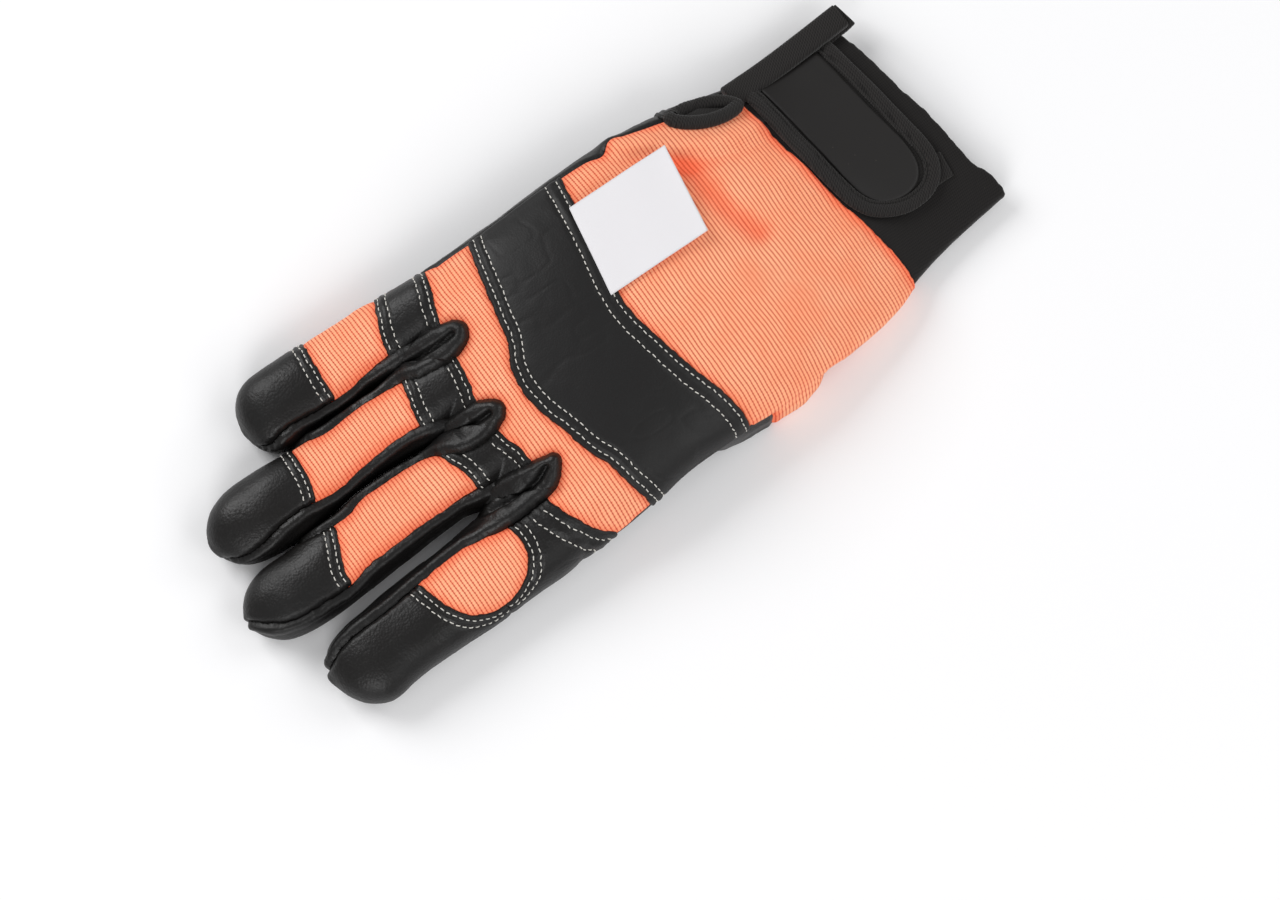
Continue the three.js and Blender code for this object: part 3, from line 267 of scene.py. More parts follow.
TAPE_WIDTH, TAPE_HEIGHT = 4.5, 2.5
TAPE_RIB = 1.25  # pitch of the ribs across the binding tape
TAPE_STEP = 0.26
STRAP_SEAT = 0.5
ANCHOR_WIDTH, ANCHOR_HEIGHT = 8.2, 4.6
LOOP_CENTRE = (37.8, -71.8)
LOOP_HALF, LOOP_BULGE, LOOP_TURN = 10.6, 3.5, math.radians(-21)
LABEL_COLUMNS, LABEL_ROWS, LABEL_THICKNESS = 40, 46, 0.22
CEILING = 80.0  # height from which rays look for the surface below

SCRAP = 0.02  # share of a piece's triangles below which a loose part of it is dropped
UP = np.array([0.0, 0.0, 1.0])


# Curves and noise.
def smoothstep(x, low, high):
    t = np.clip((x - low) / (high - low), 0, 1)
    return t * t * (3 - 2 * t)


def bell(distance, width):
    """1 at no distance, and soon 0 beyond the width."""
    return np.exp(-((distance / width) ** 2))


def hermite(stations, values, at):
    """A column of a section table on the smooth curve that the CAD source uses."""
    stations, values = np.asarray(stations, float), np.asarray(values, float)
    at = np.clip(at, stations[0], stations[-1])
    i = np.clip(np.searchsorted(stations, at, side="right") - 1, 0, len(stations) - 2)
    low = np.maximum(np.arange(len(stations)) - 1, 0)
    high = np.minimum(np.arange(len(stations)) + 1, len(stations) - 1)
    slope = (values[high] - values[low]) / (stations[high] - stations[low])
    width = stations[i + 1] - stations[i]
    s = (at - stations[i]) / width
    return ((1 + 2 * s) * (1 - s) ** 2 * values[i] + s * (1 - s) ** 2 * width * slope[i]
            + s * s * (3 - 2 * s) * values[i + 1] + s * s * (s - 1) * width * slope[i + 1])


def noise(points, size, seed=0):
    """Smooth seeded noise from -1 to 1 at points in mm, with lumps of that size."""
    p = np.asarray(points, float) / size + 17.3 * (seed + 1)
    cell = np.floor(p).astype(np.int64)
    f = p - cell
    f = f * f * (3 - 2 * f)
    total = np.zeros(len(p))
    for corner in range(8):
        offset = np.array([corner & 1, corner >> 1 & 1, corner >> 2 & 1])
        c = cell + offset
        h = c[:, 0] * 374761393 + c[:, 1] * 668265263 + c[:, 2] * 2147483647 + seed * 974634777
        h &= 0xFFFFFFFF
        h = ((h ^ (h >> 13)) * 1274126177) & 0xFFFFFFFF
        value = ((h ^ (h >> 16)) & 0xFFFF) / 32767.5 - 1
        total += value * np.prod(np.where(offset, f, 1 - f), axis=1)
    return total


def eased(line, rounds):
    """A line whose inner points are drawn towards their neighbours."""
    line = np.array(line, float)
    for _ in range(rounds):
        line[1:-1] = 0.25 * line[:-2] + 0.5 * line[1:-1] + 0.25 * line[2:]
    return line


def lengths_along(line):
    """How far along a line each of its points is."""
    return np.concatenate([[0], np.cumsum(np.linalg.norm(np.diff(line, axis=0), axis=1))])


def rounded(line, count, closed=False):
    """The same line through a smooth curve."""
    line = np.asarray(line, float)
    if closed:
        line = np.vstack([line[-2:], line, line[:2]])
    run = lengths_along(line)
    low, high = (run[2], run[-2]) if closed else (run[0], run[-1])
    at = np.linspace(low, high, count, endpoint=not closed)
    return np.column_stack([hermite(run, line[:, 0], at), hermite(run, line[:, 1], at)])


def hem(d, thickness, radius=0.8):
    """The rounded edge of a sheet: its height at a distance inside the edge."""
    t = np.clip(d / radius, 0, 1)
    return thickness * np.sqrt(np.clip(1 - (1 - t) ** 2, 0, 1))


# Sections of the hand, the fingers and the thumb.
def section_ring(left, right, low, high, sides):
    angle = np.linspace(0, 2 * math.pi, sides, endpoint=False)
    up = np.sin(angle)
    power = np.where(up > 0, TOP_ROUND, UNDER_ROUND)
    side = np.abs(np.cos(angle)) ** SIDE_ROUND
    rise = np.clip(1 - side**power, 0, 1) ** (1 / power)
    belt = low + BELT * (high - low)
    x = (left + right) / 2 + (right - left) / 2 * np.sign(np.cos(angle)) * side
    return x, belt + np.where(up > 0, high - belt, low - belt) * rise


def thumb_path():
    """Rows of x, y, heading, half width and height along the thumb."""
    x, y = THUMB_START
    along_before, turn_before = THUMB_SECTIONS[0, :2]
    rows = []
    for along, turn, half, high in THUMB_SECTIONS:
        step = (along - along_before) * THUMB_LENGTH
        heading = math.radians((turn + turn_before) / 2)
        x += step * math.cos(heading)
        y += step * math.sin(heading)
        rows.append((x, y, math.radians(turn), half * PALM_WIDTH, high * THUMB_HEIGHT))
        along_before, turn_before = along, turn
    return np.array(rows)


THUMB = thumb_path()


def palm_lift(x, y):
    """How high the underside of the palm stays to clear the tucked thumb."""
    inside = np.full(np.shape(x), -1e9)
    for a, b in zip(THUMB, THUMB[1:]):
        dx, dy = b[0] - a[0], b[1] - a[1]
        t = np.clip(((x - a[0]) * dx + (y - a[1]) * dy) / (dx * dx + dy * dy), 0, 1)
        off = np.hypot(x - a[0] - t * dx, y - a[1] - t * dy)
        inside = np.maximum(inside, a[3] + t * (b[3] - a[3]) - off)
    return smoothstep(inside, -LIFT_SLOPE, 0) * (THUMB_HEIGHT + THUMB_CLEARANCE)


def hand_rings(inset, last, count, sides):
    """Rings from a little past the cuff's end to a share of the hand's length."""
    stations, *columns = HAND_SECTIONS.T
    rings = []
    for along in np.linspace(stations[0] - 0.01, last, count):
        left, right, low, high = (hermite(stations, column, along) for column in columns)
        x, z = section_ring(left * PALM_WIDTH + inset, right * PALM_WIDTH - inset,
                            low * HAND_HEIGHT + inset, high * HAND_HEIGHT - inset, sides)
        y = np.full(sides, along * HAND_LENGTH)
        rings.append(np.column_stack([x, y, np.maximum(z, palm_lift(x, y) + inset)]))
    return rings


def finger_rings(finger):
    length, centre, half = FINGERS[finger]
    rings = []
    for along in np.concatenate([np.linspace(-0.3, NEAR_TIP, 46), np.linspace(NEAR_TIP, 1, 19)[1:]]):
        columns = (centre, half, FINGER_LOW, FINGER_HIGH)
        c, w, low, high = (float(hermite(FINGER_ALONG, column, along)) for column in columns)
        inside = min(FINGER_INSET, 0.5 * w * PALM_WIDTH)
        x, z = section_ring((c - w) * PALM_WIDTH + inside, (c + w) * PALM_WIDTH - inside,
                            low * FINGER_HEIGHT, high * FINGER_HEIGHT - 0.7 * FINGER_INSET, FINGER_SIDES)
        y = np.full(FINGER_SIDES, ROOT_Y + along * (length - 0.8 * FINGER_INSET))
        rings.append(np.column_stack([x, y, np.maximum(z, palm_lift(x, y))]))
    return rings


def thumb_rings():
    stations = THUMB_SECTIONS[:, 0]
    rings = []
    for along in np.concatenate([np.linspace(0, 0.82, 60), np.linspace(0.82, 1, 19)[1:]]):
        x, y, turn, half, high = (float(hermite(stations, column, along)) for column in THUMB.T)
        off, z = section_ring(-half, half, -0.02 * THUMB_HEIGHT, high, FINGER_SIDES)
        x, y = x + off * math.sin(turn), y - off * math.cos(turn)
        rings.append(np.column_stack([x, y, np.maximum(z, 0)]))
    return rings


# Meshes as arrays of points and triangles.
def ring_faces(rings, sides, closed=False):
    """Triangles between neighbouring rings, and from the last to the first if closed."""
    i, k = np.meshgrid(np.arange(rings if closed else rings - 1), np.arange(sides), indexing="ij")
    here, ahead = i * sides, (i + 1) % rings * sides
    a, b = (here + k).ravel(), (here + (k + 1) % sides).ravel()
    c, d = (ahead + k).ravel(), (ahead + (k + 1) % sides).ravel()
    return np.vstack([np.column_stack([a, b, c]), np.column_stack([b, d, c])])


def capped(rings, faces):
    """A tube's points and triangles with a fan over each end."""
    count = len(rings[0])
    k = np.arange(count)
    end = (len(rings) - 1) * count
    total = len(rings) * count
    start_fan = np.column_stack([(k + 1) % count, k, np.full(count, total)])
    end_fan = np.column_stack([end + k, end + (k + 1) % count, np.full(count, total + 1)])
    points = np.vstack([np.vstack(rings), rings[0].mean(0), rings[-1].mean(0)])
    return points, np.vstack([faces, start_fan, end_fan])


def loft(rings):
    """Points and triangles of a closed skin over rings of equal counts."""
    return capped(rings, ring_faces(len(rings), len(rings[0])))


def joined(parts):
    points, faces, base = [], [], 0
    for part_points, part_faces in parts:
        points.append(part_points)
        faces.append(part_faces + base)
        base += len(part_points)
    return np.vstack(points), np.vstack(faces)


def new_object(name, points, faces):
    mesh = bpy.data.meshes.new(name)
    placed = (np.asarray(points, float) + SHIFT) * MM
    mesh.vertices.add(len(placed))
    mesh.vertices.foreach_set("co", placed.astype(np.float32).ravel())
    corners = np.asarray(faces, np.int32)
    mesh.loops.add(corners.size)
    mesh.loops.foreach_set("vertex_index", corners.ravel())
    mesh.polygons.add(len(corners))
    starts = np.arange(0, corners.size, corners.shape[1], dtype=np.int32)
    mesh.polygons.foreach_set("loop_start", starts)
    mesh.update(calc_edges=True)
    mesh.validate()
    mesh.shade_smooth()
    obj = bpy.data.objects.new(name, mesh)
    bpy.context.scene.collection.objects.link(obj)
    return obj


def mesh_arrays(obj):
    """Points in mm in the plan's frame, and triangles, of an object with its modifiers."""
    seen = obj.evaluated_get(bpy.context.evaluated_depsgraph_get())
    mesh = seen.to_mesh()
    mesh.calc_loop_triangles()
    points = np.empty(len(mesh.vertices) * 3, np.float32)
    mesh.vertices.foreach_get("co", points)
    faces = np.empty(len(mesh.loop_triangles) * 3, np.int32)
    mesh.loop_triangles.foreach_get("vertices", faces)
    seen.to_mesh_clear()
    return points.reshape(-1, 3).astype(float) / MM - SHIFT, faces.reshape(-1, 3).astype(np.int64)


def remeshed(points, faces):
    obj = new_object("base", points, faces)
    remesh = obj.modifiers.new("remesh", "REMESH")
    remesh.mode = "VOXEL"
    remesh.voxel_size = VOXEL * MM
    remesh.adaptivity = 0
    result = mesh_arrays(obj)
    bpy.data.objects.remove(obj)
    return result


def tree_of(points, faces):
    return BVHTree.FromPolygons(points.tolist(), faces.tolist())


def heights(tree, points):
    """Height of the surface under each plan point, or under the nearest point that has one."""
    out = np.full(len(points), np.nan)
    for i, (x, y) in enumerate(points[:, :2]):
        hit = tree.ray_cast(Vector((float(x), float(y), CEILING)), Vector((0, 0, -1)))[0]
        if hit is not None:
            out[i] = hit.z
    known = np.where(~np.isnan(out))[0]
    for i in np.where(np.isnan(out))[0]:
        out[i] = out[known[((points[known, :2] - points[i, :2]) ** 2).sum(1).argmin()]]
    return out


def edges_of(faces):
    pairs = np.sort(np.vstack([faces[:, [0, 1]], faces[:, [1, 2]], faces[:, [2, 0]]]), axis=1)
    return np.unique(pairs, axis=0)


def mean_of_neighbours(values, edges, count):
    total = np.bincount(edges[:, 0], values[edges[:, 1]], len(values))
    total += np.bincount(edges[:, 1], values[edges[:, 0]], len(values))
    return total / count


def counted(edges, size):
    """How many neighbours each point has, at least 1."""
    return np.maximum(np.bincount(edges.ravel(), minlength=size), 1).astype(float)


def relax(points, faces, rounds):
    """Evens out the mesh without shrinking it."""
    edges = edges_of(faces)
    count = counted(edges, len(points))
    for _ in range(rounds):
        for share in (0.5, -0.52):
            mean = np.column_stack([mean_of_neighbours(column, edges, count) for column in points.T])
            points = points + share * (mean - points)
    return points


def blurred(values, faces, rounds):
    edges = edges_of(faces)
    count = counted(edges, len(values))
    for _ in range(rounds):
        values = 0.5 * values + 0.5 * mean_of_neighbours(values, edges, count)
    return values


def normals_of(points, faces):
    a, b, c = (points[faces[:, k]] for k in range(3))
    face = np.cross(b - a, c - a)
    out = np.zeros_like(points)
    for axis in range(3):
        for k in range(3):
            out[:, axis] += np.bincount(faces[:, k], face[:, axis], len(points))
    return out / np.maximum(np.linalg.norm(out, axis=1), 1e-12)[:, None]


def compact(table, faces):
    """The same triangles with only the rows that they use."""
    used, faces = np.unique(faces, return_inverse=True)
    return table[used], faces.reshape(-1, 3)


def clip(table, faces, field):
    """Cuts a triangle mesh along field = 0 and keeps where it is positive, with all columns of the table."""
    field = np.where(np.abs(field) < 1e-4, 1e-4, field)
    inside = field > 0
    count = inside[faces].sum(1)
    cut = faces[(count == 1) | (count == 2)]
    one = inside[cut].sum(1) == 1
    odd = np.where(one[:, None], inside[cut], ~inside[cut]).argmax(1)
    a, b, c = np.take_along_axis(cut, (odd[:, None] + np.arange(3)) % 3, 1).T
    pairs = np.sort(np.vstack([np.column_stack([a, b]), np.column_stack([a, c])]), axis=1)
    unique, where = np.unique(pairs, axis=0, return_inverse=True)
    where = where.ravel()
    s0, s1 = field[unique[:, 0]], field[unique[:, 1]]
    t = (s0 / (s0 - s1))[:, None]
    fresh = table[unique[:, 0]] * (1 - t) + table[unique[:, 1]] * t
    ab, ac = where[: len(cut)] + len(table), where[len(cut):] + len(table)
    kept = [faces[count == 3], np.column_stack([a, ab, ac])[one],
            np.column_stack([ab, b, c])[~one], np.column_stack([ab, c, ac])[~one]]
    return compact(np.vstack([table, fresh]), np.vstack(kept))


def largest(faces, size):
    """The faces of the connected parts that aren't just small scraps."""
    label = np.arange(size)
    edges = edges_of(faces)
    while True:
        low = np.minimum(label[edges[:, 0]], label[edges[:, 1]])
        fresh = label.copy()
        np.minimum.at(fresh, edges[:, 0], low)
        np.minimum.at(fresh, edges[:, 1], low)
        fresh = fresh[fresh]
        if (fresh == label).all():
            break
        label = fresh
    group = label[faces[:, 0]]
    names, counts = np.unique(group, return_counts=True)
    return faces[np.isin(group, names[counts > SCRAP * len(faces)])]


def border(faces):
    """Directed edges that only one triangle has."""
    edges = np.vstack([faces[:, [0, 1]], faces[:, [1, 2]], faces[:, [2, 0]]])
    where, count = np.unique(np.sort(edges, axis=1), axis=0, return_inverse=True, return_counts=True)[1:]
    return edges[count[where.ravel()] == 1]


def thickened(points, normals, faces, depth):
    """Turns the edge of a skin down by depth, so that it reads as a thick sheet."""
    rim = border(faces)
    used, index = np.unique(rim, return_inverse=True)
    index = index.reshape(-1, 2) + len(points)
    down = points[used] - normals[used] * depth
    a, b = rim.T
    c, d = index.T
    walls = np.vstack([np.column_stack([b, a, c]), np.column_stack([b, c, d])])
    return np.vstack([points, down]), np.vstack([faces, walls])


def contours(faces, values, level):
    """Lines where a field on a mesh passes a level, as rows of two points' numbers and the share between."""
    s = values - level
    s = np.where(np.abs(s) < 1e-9, 1e-9, s)
    inside = s > 0
    cross = faces[(inside[faces].sum(1) % 3) != 0]
    links = {}
    places = {}
    for corners in cross:
        ends = []
        for k in range(3):
            a, b = int(corners[k]), int(corners[(k + 1) % 3])
            if inside[a] != inside[b]:
                key = (min(a, b), max(a, b))
                places[key] = (key[0], key[1], s[key[0]] / (s[key[0]] - s[key[1]]))
                ends.append(key)
        links.setdefault(ends[0], []).append(ends[1])
        links.setdefault(ends[1], []).append(ends[0])
    seen = set()
    lines = []
    for start in [key for key, others in links.items() if len(others) == 1] + list(links):
        if start in seen:
            continue
        line, here = [start], start
        seen.add(start)
        while True:
            ahead = [key for key in links[here] if key not in seen]
            if not ahead:
                break
            here = ahead[0]
            seen.add(here)
            line.append(here)
        if len(line) > 4:
            if len(links[start]) == 2 and start in links[here]:
                line.append(start)
            lines.append(np.array([places[key] for key in line]))
    return lines


def along_line(table, line):
    """The rows of a table at the places where a contour crosses the mesh."""
    a, b, t = line[:, 0].astype(int), line[:, 1].astype(int), line[:, 2][:, None]
    return table[a] * (1 - t) + table[b] * t


# Signed distances in plan. Each gives the distance and its direction at points.
def nearest_on(line_starts, line_ends, p):
    """For each segment in turn: its direction, where on it the nearest point is, and the way from there."""
    for a, b in zip(line_starts, line_ends):
        d = b - a
        t = np.clip(((p - a) @ d) / (d @ d), 0, 1)
        yield d, t, p - a - t[:, None] * d


def is_inside(starts, ends, p):
    inside = np.zeros(len(p), bool)
    for a, b in zip(starts, ends):
        crosses = (a[1] > p[:, 1]) != (b[1] > p[:, 1])
        x = a[0] + (p[:, 1] - a[1]) / (b[1] - a[1] + 1e-30) * (b[0] - a[0])
        inside ^= crosses & (p[:, 0] < x)
    return inside


def line_field(line, closed=False):
    """Positive to the left of a line, or inside a closed outline."""
    line = np.asarray(line, float)
    starts, ends = (line, np.roll(line, -1, 0)) if closed else (line[:-1], line[1:])

    def field(points):
        p = points[:, :2]
        best = np.full(len(p), 1e18)
        sign = np.ones(len(p))
        toward = np.zeros((len(p), 2))
        for d, _, off in nearest_on(starts, ends, p):
            square = (off**2).sum(1)
            near = square < best - 1e-12
            best[near] = square[near]
            toward[near] = off[near]
            sign[near] = np.sign(d[0] * off[near, 1] - d[1] * off[near, 0])
        if closed:
            sign = np.where(is_inside(starts, ends, p), 1.0, -1.0)
        distance = np.sqrt(best)
        return sign * distance, sign[:, None] * toward / np.maximum(distance, 1e-9)[:, None]

    return field


def side_height(points):
    """How far above the side seam between back and palm, and the way up."""
    x, y, z = points.T
    thumb_side = np.interp(y, *np.array(THUMB_SIDE_SEAM).T)
    pinky_side = np.interp(y, *np.array(PINKY_SIDE_SEAM).T)
    mix = smoothstep(x, -4, 4)
    return z - thumb_side * (1 - mix) - pinky_side * mix, np.tile(UP, (len(points), 1))


def seam_fields():
    """The field of every seam, by its name."""
    lines = {
        "cuff": rounded(CUFF_SEAM, 60),
        "cuff_end": rounded(CUFF_END, 60),
        "panel_low": eased(rounded(PANEL_LOW, 70), 4),  # it bends softly beside the label
        "panel_high": rounded(PANEL_HIGH, 70),
        "band_low": rounded(BAND_LOW, 90),
        "heel": rounded(HEEL_LINE, 20),
        "wrap": rounded(WRAP_LINE, 40),
        "saddle": SADDLE_LINE,
    }
    lines |= {"band_" + finger: rounded(line, 24) for finger, line in BAND_HIGH.items()}
    lines |= {"hem_" + finger: rounded(line, 24) for finger, line in HEM.items()}
    outlines = {"window": rounded(WINDOW, 90, True), "patch": rounded(PALM_PATCH, 150, True)}
    outlines |= {"_".join(pair): rounded(outline, 150, True) for pair, outline in FOURCHETTES.items()}
    fields = {name: line_field(line) for name, line in lines.items()}
    fields |= {name: line_field(outline, True) for name, outline in outlines.items()}
    return fields | {"top": side_height}


SEAMS = seam_fields()


def on_skin(value, gradient, normals):
    """A distance in plan as the distance along a skin that leans."""
    lean = (gradient * normals[:, : gradient.shape[1]]).sum(1)
    return value / np.sqrt(np.maximum(1 - lean**2, 0.06))


class Skin:
    """A fine mesh of the glove's outside, with the fields that its pieces are cut by.

    A folded skin has the folds and dents of the whole glove, and its pieces carry their depth."""

    def __init__(self, points, faces, folded=False):
        self.points, self.faces, self.folded = points, faces, folded
        smooth = [blurred(column, faces, 3) for column in normals_of(points, faces).T]
        self.normals = np.column_stack(smooth)
        self.normals /= np.linalg.norm(self.normals, axis=1)[:, None]
        self.cache = {}

    def field(self, name):
        """Signed distance along the skin to a named seam, positive above, to the left or inside."""
        if name not in self.cache:
            value = on_skin(*SEAMS[name](self.points), self.normals)
            self.cache[name] = value + EDGE_WOBBLE * noise(self.points, 1.7, 40) * (name != "top")
        return self.cache[name]


# Sewing.
stitches = []  # (place, along, out) of every stitch


def sew(rows, ok):
    """Lays stitches along a path of rows (point, normal), where ok is true."""
    reach = 0.7  # how far to each side a stitch looks for its direction
    turns_back = 0.4  # shortest way between those two places where the path isn't bent too much
    points, normals = eased(rows[:, :3], 4), rows[:, 3:6]
    run = lengths_along(points)
    if run[-1] < STITCH_PITCH:
        return
    for at in np.arange(STITCH_PITCH / 2, run[-1], STITCH_PITCH):
        i = min(np.searchsorted(run, at), len(run) - 1)
        if not ok[i] or not ok[i - 1]:
            continue
        t = (at - run[i - 1]) / max(run[i] - run[i - 1], 1e-9)
        place = points[i - 1] * (1 - t) + points[i] * t
        ends = [[np.interp(at + off, run, column) for column in points.T] for off in (-reach, reach)]
        ahead = np.subtract(ends[1], ends[0])
        length = np.linalg.norm(ahead)
        if length > turns_back:
            stitches.append((place, ahead / length, normals[i]))


def sew_rows(rows, faces, kinds, sews, clear):
    """Sews at distances inside an edge, where all other edges are further away than clear."""
    for k, distances in sews:
        others = [6 + j for j, kind in enumerate(kinds) if j != k and kind != "none"]
        for distance in distances:
            for line in contours(faces, rows[:, 6 + k], distance):
                path = along_line(rows, line)
                sew(path, (path[:, others] > clear).all(1))


def build_stitches():
    """Every stitch is a short thread that comes up out of the leather and goes down into it."""
    shares = np.array([-1, -0.72, -0.3, 0.3, 0.72, 1])
    rises = np.array([-0.28, 0.08, 0.18, 0.18, 0.08, -0.28])
    girths = np.array([0.55, 0.95, 1, 1, 0.95, 0.55])
    place, ahead, out = (np.array([stitch[k] for stitch in stitches]) for k in range(3))
    out = out - (out * ahead).sum(1)[:, None] * ahead
    out /= np.maximum(np.linalg.norm(out, axis=1), 1e-9)[:, None]
    side = np.cross(ahead, out)
    rng = np.random.default_rng(7)
    length = STITCH_LENGTH / 2 * rng.uniform(0.88, 1.1, len(place))[:, None]
    skew = rng.normal(0, 0.07, len(place))[:, None]
    points = []
    for share, rise, girth in zip(shares, rises, girths):
        centre = place + ahead * share * length + out * rise + side * skew * share
        for angle in np.linspace(0, 2 * math.pi, STITCH_SIDES, endpoint=False):
            points.append(centre + STITCH_RADIUS * girth * (math.cos(angle) * side + math.sin(angle) * out))
    points = np.stack(points, 1)
    points[..., 2] = np.maximum(points[..., 2], FLAT)
    i, k = np.meshgrid(np.arange(len(shares) - 1), np.arange(STITCH_SIDES), indexing="ij")
    a, b = (i * STITCH_SIDES + k).ravel(), (i * STITCH_SIDES + (k + 1) % STITCH_SIDES).ravel()
    faces = np.column_stack([a, a + STITCH_SIDES, b + STITCH_SIDES, b])
    faces = faces[None] + (np.arange(len(place)) * points.shape[1])[:, None, None]
    add_piece("stitches", points.reshape(-1, 3), faces.reshape(-1, 4))


# Pieces cut from a skin.
pieces = {}


def add_piece(name, points, faces):
    pieces[name] = new_object(name, points, faces)
    return pieces[name]


def cut_out(skin, fields):
    """Rows of point, normal and fields, and triangles, of the skin where every field is positive."""
    table, faces = np.column_stack([skin.points, skin.normals] + fields), skin.faces
    for k in range(6, table.shape[1]):
        if (table[:, k] <= 0).any():
            table, faces = clip(table, faces, table[:, k])
    return compact(table, largest(faces, len(table)))


def edge_height(kind, d, lift):
    """How an edge changes the piece's height at a distance inside it."""
    if kind == "hem":
        return hem(d, lift) - lift + 0.18 * bell(d - 0.9, 0.6)
    if kind == "tuck":
        return -0.35 * np.exp(-d / 1.2)
    return 0.16 * bell(d - 1.8, 1.0)


def edge_level(kind, d):
    """How far off the ground an edge stays at a distance inside it."""
    return 0.6 * np.exp(-d / 1.5) if kind == "tuck" else 0.45 * bell(d, 0.65)


def write_attributes(obj, **columns):
    for name, values in columns.items():
        layer = obj.data.attributes.new(name, "FLOAT", "POINT")
        layer.data.foreach_set("value", values.astype(np.float32))


def build_piece(name, skin, parts, lift, puff=0.0, fall=4.0, rough=0.0, rough_size=6.0, creases=0.0,
                sews=(), shape=None, depth=None, clear=0.9):
    """Cuts one sewn piece out of a skin and gives it its thickness.

    parts are (field, kind) with kind hem, tuck, seam or none; sews are (part number, distances in)."""
    table, faces = cut_out(skin, [field for field, _ in parts])
    points, normals, fields = table[:, :3], table[:, 3:6], table[:, 6:]
    normals = normals / np.linalg.norm(normals, axis=1)[:, None]
    kinds = [kind for _, kind in parts]
    height = np.full(len(points), float(lift))
    nearest = np.full(len(points), 1e9)
    level = np.full(len(points), FLAT)
    groove = np.zeros(len(points))
    for kind, column in zip(kinds, fields.T):
        if kind == "none":
            continue
        d = np.maximum(column, 0)
        height += edge_height(kind, d, lift)
        level += edge_level(kind, d)
        nearest = np.minimum(nearest, d)
        if kind == "seam":
            groove = np.maximum(groove, (0.35 + 0.5 * lift) * bell(d, 0.75))
    for k, distances in sews:
        for distance in distances:
            height -= 0.3 * bell(fields[:, k] - distance, 0.55)
            level += 0.3 * bell(fields[:, k] - distance, 0.6)
        height += 0.22 * bell(fields[:, k] - sum(distances) / len(distances), 0.8)
    height += puff * (1 - np.exp(-nearest / fall)) - groove
    if rough:
        height += rough * noise(points, rough_size, len(name)) * np.clip(nearest / 2, 0, 1)
        height += 0.4 * rough * noise(points, rough_size * 0.4, len(name) + 5)
    if creases:
        veins = 1 - np.abs(noise(points * (1.6, 0.75, 1), 8, len(name) + 9))
        height -= creases * np.clip((veins - 0.86) / 0.14, 0, 1) ** 2 * np.clip(nearest / 3, 0, 1)
    if shape:
        height += shape(points, fields)
    points = points + normals * height[:, None]
    points[:, 2] = np.maximum(points[:, 2], level)
    finished = normals_of(points, faces)
    sew_rows(np.column_stack([points, finished, fields]), faces, kinds, sews, clear)
    thick, walls = thickened(points, finished, faces, lift + 0.7 if depth is None else depth)
    thick[:, 2] = np.maximum(thick[:, 2], FLAT)
    # The edge distance and the folds' depth are kept for the fabric's colour, which paints shade near seams
    # and in the hollows.
    edge = np.zeros(len(thick))
    edge[:len(nearest)] = np.minimum(nearest, 20)
    hollow = np.maximum(-shaped(thick)[:, 2], 0) * skin.folded
    write_attributes(add_piece(name, thick, walls), edge=edge, hollow=hollow)


# The skins.
def shaped(points):
    """Soft folds and dents of the whole glove, as moves in millimetres."""
    x, y, z = points.T
    upper = smoothstep(z, 4, 12)
    back = smoothstep(y, -96, -84) * smoothstep(-y, 18, 30)
    fingers = smoothstep(y, 45, 60)
    cuff = smoothstep(-y, 92, 100)
    past_cuff = y + 90
    pucker = (bell(x + 22 + 0.12 * past_cuff, 3.2) + 0.9 * bell(x - 8 + 0.1 * past_cuff, 3)
              + 0.8 * bell(x - 21 - 0.2 * past_cuff, 2.6) - 0.7 * bell(x + 6, 5) - 0.6 * bell(x - 15, 3))
    cuff_near = np.exp(-np.maximum(y + 91 - 0.09 * x, 0) / 13)
    ridge, hollow = (line_field(line)(points)[0] for line in (RIDGE, HOLLOW))
    corner = 1.8 * bell(ridge, 3.0) - 1.2 * bell(ridge + 6, 3.6) - 1.6 * bell(hollow, 5.0)
    move = np.zeros_like(points)
    move[:, 2] += 1.6 * pucker * cuff_near * upper * back
    move[:, 2] += corner * upper * back
    move[:, 2] += 0.55 * noise(points, 24, 3) * upper
    move[:, 2] += 0.35 * noise(points * (1, 1, 0.4), 9, 4) * upper * fingers
    move[:, 0] += 0.4 * noise(points, 14, 6) * fingers
    move[:, 2] += 0.4 * noise(points * (1, 0.5, 1), 14, 8) * cuff * upper
    return move


def body_skin():
    """The hand with its four fingers."""
    parts = [loft(hand_rings(HAND_INSET, HAND_SECTIONS[-1, 0], 150, 120))]
    parts += [loft(finger_rings(finger)) for finger in FINGERS]
    points, faces = remeshed(*joined(parts))
    points = relax(points, faces, 14)
    points += shaped(points)
    points[:, 2] = np.maximum(points[:, 2], 0)
    return Skin(points, faces, folded=True)


def thumb_skin():
    points, faces = remeshed(*loft(thumb_rings()))
    return Skin(relax(points, faces, 8), faces)


body = body_skin()
thumb = thumb_skin()
top = body.field("top")
wrapped = np.maximum(top, body.field("wrap"))
noses = {pair: body.field("_".join(pair)) for pair in FOURCHETTES}
off_noses = -np.max(list(noses.values()), axis=0)


def strip_of(finger):
    """How far inside a finger's own strip of the plan, between the gaps beside it."""
    inside = np.full(len(body.points), 1e3)
    for pair in SLITS:
        if finger in pair:
            gap = np.array(SLITS[pair] + GAP_ENDS[pair])
            beyond = body.points[:, 0] - np.interp(body.points[:, 1], gap[:, 1], gap[:, 0])
            inside = np.minimum(inside, beyond if pair[1] == finger else -beyond)
    return inside


